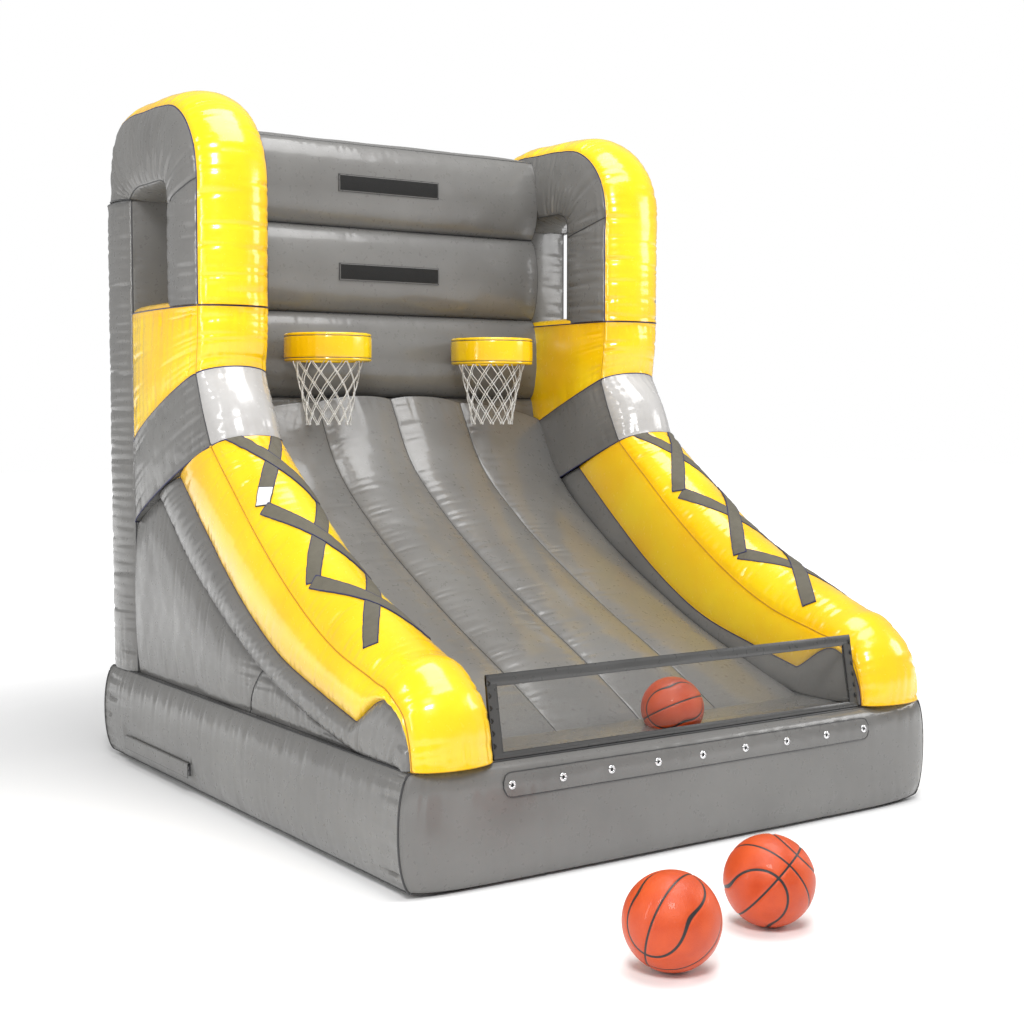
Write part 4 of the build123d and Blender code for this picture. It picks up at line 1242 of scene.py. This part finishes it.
build_ball("ball_1", (20, 38, 35))
build_ball("ball_2", (50, -30, 10))
build_ball("ball_3", (70, 20, 60))


# ---- zip and flap on the left side ---------------------------------------------------------
def build_vent():
    """Zip tape with its teeth, and the flap folded down over them."""
    low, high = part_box("vent_tape")
    z_mid = (low.z + high.z) / 2
    tape_x, pairs = -1.0465, 150
    ny, nz = 90, 9
    ys, zs = np.linspace(low.y, high.y, ny), np.linspace(low.z, high.z, nz)
    front, back = ([(x, y, z) for y in ys for z in zs] for x in (tape_x, tape_x + 0.0035))
    settle(slab("vent_tape", front, back, ny, nz, tape), "zip_tape", "vent_tape")
    teeth, x = [], tape_x - 0.0012
    for i in range(pairs):
        y = low.y + (high.y - low.y) * (i + 0.5) / pairs
        for way in (-1, 1):
            z = z_mid + way * 0.0014
            ends = z + way * 0.0035, z - way * 0.001
            teeth.append(np.array([(x, y + way * 0.001, end) for end in ends]))
    settle(tubes("vent_teeth", teeth, 0.0012, tooth_plastic, 6), "zip_tape")
    repaint("vent_slider", steel)
    repaint("vent_pull", steel)
    flap_low, flap_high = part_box("vent_flap")
    front, back = [], []
    rows, fold = 26, 0.22                 # the first share of the flap is its fold
    hinge_x, hinge_z, fold_out, fold_down = -1.0478, flap_high.z - 0.0025, 0.0075, 0.0042
    for y in np.linspace(flap_low.y, flap_high.y, ny):
        for j in range(rows):
            t = j / (rows - 1)
            if t < fold:
                turn = t / fold * math.pi / 2
                x = hinge_x - fold_out * math.sin(turn)
                z = hinge_z - fold_down * (1 - math.cos(turn))
            else:
                drop = (t - fold) / (1 - fold)
                x = hinge_x - fold_out - 0.0006 * math.sin(drop * math.pi) * (1 + 0.8 * math.sin(37 * y))
                z = hinge_z - fold_down - drop * (hinge_z - fold_down - flap_low.z)
            front.append((x - 0.0008, y, z))
            back.append((x + 0.0006, y, z))
    flap = slab("vent_flap", front, back, ny, rows, grey)
    settle(flap, "grey_vinyl", "vent_flap", body="vent_flap")


tooth_plastic = plain_detail("tooth_plastic", (0.05, 0.05, 0.055), 0.35, 300.0, 0.0002)
build_vent()


# ---- air inlet, strap and anchors at the back ----------------------------------------------
def build_inlet():
    """Open air sleeve gathered under a cinch strap with a wire buckle."""
    low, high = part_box("inlet_sleeve")
    x, z, radius = (low.x + high.x) / 2, (low.z + high.z) / 2, (high.x - low.x) / 2
    strap_low, strap_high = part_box("inlet_strap")
    waist, gathered = (strap_low.y + strap_high.y) / 2, 0.05
    rows, turns = 60, 120
    points = []
    for inset in (0.0, 0.003):
        for i in range(rows):
            y = low.y + (high.y - low.y) * i / (rows - 1)
            away = abs(y - waist) / gathered
            for j in range(turns):
                turn = 2 * math.pi * j / turns
                pleat = 0.5 + 0.5 * math.sin(19 * turn + 2 * math.sin(3 * turn))
                slack = 0.0016 * math.sin(5 * turn + 40 * y) * min(1.0, away)
                r = radius - 0.0012 - inset - 0.0022 * pleat * math.exp(-(away ** 2)) + min(slack, 0.001)
                points.append((x + r * math.cos(turn), y, z + r * math.sin(turn)))
    outer, inner = np.arange(2 * rows * turns).reshape(2, rows, turns)
    faces = [ring_cells(outer), ring_cells(inner)]
    for end in (0, -1):
        ahead = np.roll(outer[end], -1), np.roll(inner[end], -1)
        faces.append(np.stack((outer[end], *ahead, inner[end]), -1))
    points = np.array(points)
    edge = np.minimum(points[:, 1] - low.y, high.y - points[:, 1])
    sleeve = finish_mesh("inlet_sleeve", points, np.concatenate(faces).tolist(), [grey],
                         {"seam": edge, "along": points[:, 0]})
    settle(sleeve, "grey_vinyl", "inlet_sleeve")
    webbing, half = radius + 0.0016, 0.019
    section = [(webbing - 0.0025, -half), (webbing + 0.0008, -half), (webbing + 0.0014, -half * 0.6),
               (webbing + 0.0014, half * 0.6), (webbing + 0.0008, half), (webbing - 0.0025, half)]
    band = revolve("inlet_strap", section, (0, 0, 0), 120, black_webbing)
    band.data.transform(Matrix.Rotation(math.radians(-90), 4, "X"))
    band.data.transform(Matrix.Translation((x, waist, z)))
    settle(band, "black_webbing", "inlet_strap")
    top, half_y = z + webbing + 0.0042, 0.0175
    path = [(x + 0.021 * sx, waist + half_y * sy, top) for sx, sy in
            ((-1, -1), (0, -1), (1, -1), (1, 0), (1, 1), (0, 1), (-1, 1), (-1, 0))]
    settle(tubes("inlet_buckle", [path], 0.0024, steel, 8, True), "steel")
    bar = [(x, waist - half_y, top), (x, waist + half_y, top)]
    settle(tubes("inlet_buckle_bar", [bar], 0.002, steel, 8), "steel")


def build_anchor(side_name):
    """Anchor patch with a folded loop that holds the wire ring."""
    ring_low, ring_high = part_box(f"{side_name}_anchor_ring")
    ax, az = (ring_low.x + ring_high.x) / 2, ring_high.z - 0.004
    ring_y, patch_y, n = (ring_low.y + ring_high.y) / 2, 1.1755, 16
    grid = np.linspace(-0.03, 0.03, n)
    front, back = ([(ax + a, y, az + b) for a in grid for b in grid]
                   for y in (patch_y + 0.002, patch_y - 0.006))
    patch = slab(f"{side_name}_anchor_patch", front, back, n, n, black_webbing)
    settle(patch, "black_webbing", "anchor_loops")
    front, back = [], []
    for a in np.linspace(-0.0145, 0.0145, 7):
        for j in range(25):
            turn = math.radians(-115 + 230 * j / 24)
            for store, r in ((front, 0.0068), (back, 0.0046)):
                store.append((ax + a, ring_y + r * math.cos(turn), az + r * math.sin(turn)))
    loop = slab(f"{side_name}_anchor_loop", front, back, 7, 25, black_webbing)
    settle(loop, "black_webbing", "anchor_loops")
    repaint(f"{side_name}_anchor_ring", steel)


build_inlet()
for side_name in SIDES:
    build_anchor(side_name)


# ---- frame nodes that stay as they are -----------------------------------------------------
for node, paint in (("base_baffles", grey), ("left_hoop_rim", steel), ("right_hoop_rim", steel)):
    repaint(node, paint)
for ball_name in ("ball_1", "ball_2", "ball_3"):
    repaint(f"{ball_name}_bladder", bladder_rubber)
    repaint(f"{ball_name}_valve", bladder_rubber)


# ---- stage, light and camera ---------------------------------------------------------------
def build_stage():
    bpy.ops.mesh.primitive_plane_add(size=60, location=(0, 0, 0))
    floor = bpy.context.object
    floor.name = "studio_floor"
    paper, tree, shader = material("studio_paper", (0.93, 0.93, 0.93), 0.6)
    place = coordinates(tree)
    shade = tint(tree, noise(tree, place, 0.6, 2.0), (0.92, 0.92, 0.92), (0.945, 0.945, 0.945))
    distance = add(tree, "ShaderNodeVectorMath", operation="LENGTH")
    tree.links.new(place, distance.inputs[0])
    # painted light: the floor glows more the farther it is from the middle, from 2 m out, so that the far
    # floor turns as white as the backdrop
    shader.inputs["Emission Color"].default_value = (1, 1, 1, 1)
    glow = spread_to(tree, distance.outputs["Value"], 2.0, 5.5, 0.0, 0.8, smooth=True)
    floor.data.materials.append(wire(paper, tree, shader, Base_Color=shade, Emission_Strength=glow))


def area_light(name, location, target, size, power, colour=(1, 1, 1)):
    lamp = bpy.data.lights.new(name, "AREA")
    lamp.shape, lamp.size, lamp.size_y = "RECTANGLE", *size
    lamp.energy, lamp.color = power, colour
    made = bpy.data.objects.new(name, lamp)
    made.location = location
    made.rotation_euler = (Vector(target) - Vector(location)).to_track_quat("-Z", "Y").to_euler()
    bpy.context.scene.collection.objects.link(made)


def build_light():
    world = bpy.data.worlds.new("studio")
    bpy.context.scene.world = world
    world.use_nodes = True
    background = world.node_tree.nodes["Background"]
    background.inputs["Color"].default_value = (1, 1, 1, 1)
    seen = world.node_tree.nodes.new("ShaderNodeLightPath").outputs["Is Camera Ray"]
    strength = spread_to(world.node_tree, seen, 0.0, 1.0, 0.42, 1.0)
    world.node_tree.links.new(strength, background.inputs["Strength"])
    area_light("key", (-3.6, -5.2, 5.4), (0, 0, 0.9), (1.6, 1.6), 290)
    area_light("fill", (5.0, -3.0, 3.2), (0, 0, 0.9), (2.2, 2.2), 90)
    area_light("top", (0.3, -1.2, 6.5), (0, 0, 0.5), (4.0, 4.0), 310)
    area_light("side", (-5.6, -0.6, 2.6), (-1.0, 0.1, 1.0), (0.5, 3.4), 85)
    bpy.context.scene.view_settings.view_transform = "Standard"


def build_camera():
    lens = bpy.data.cameras.new("photo_camera")
    lens.lens, lens.sensor_width = 55.6, 36.0
    camera = bpy.data.objects.new("photo_camera", lens)
    camera.location = (-3.193, -4.827, 1.340)
    heading, pitch = math.radians(34.3), math.radians(-3.6)
    level = math.cos(pitch)
    look = Vector((math.sin(heading) * level, math.cos(heading) * level, math.sin(pitch)))
    camera.rotation_euler = look.to_track_quat("-Z", "Y").to_euler()
    bpy.context.scene.collection.objects.link(camera)
    bpy.context.scene.camera = camera


build_stage()
build_light()
build_camera()
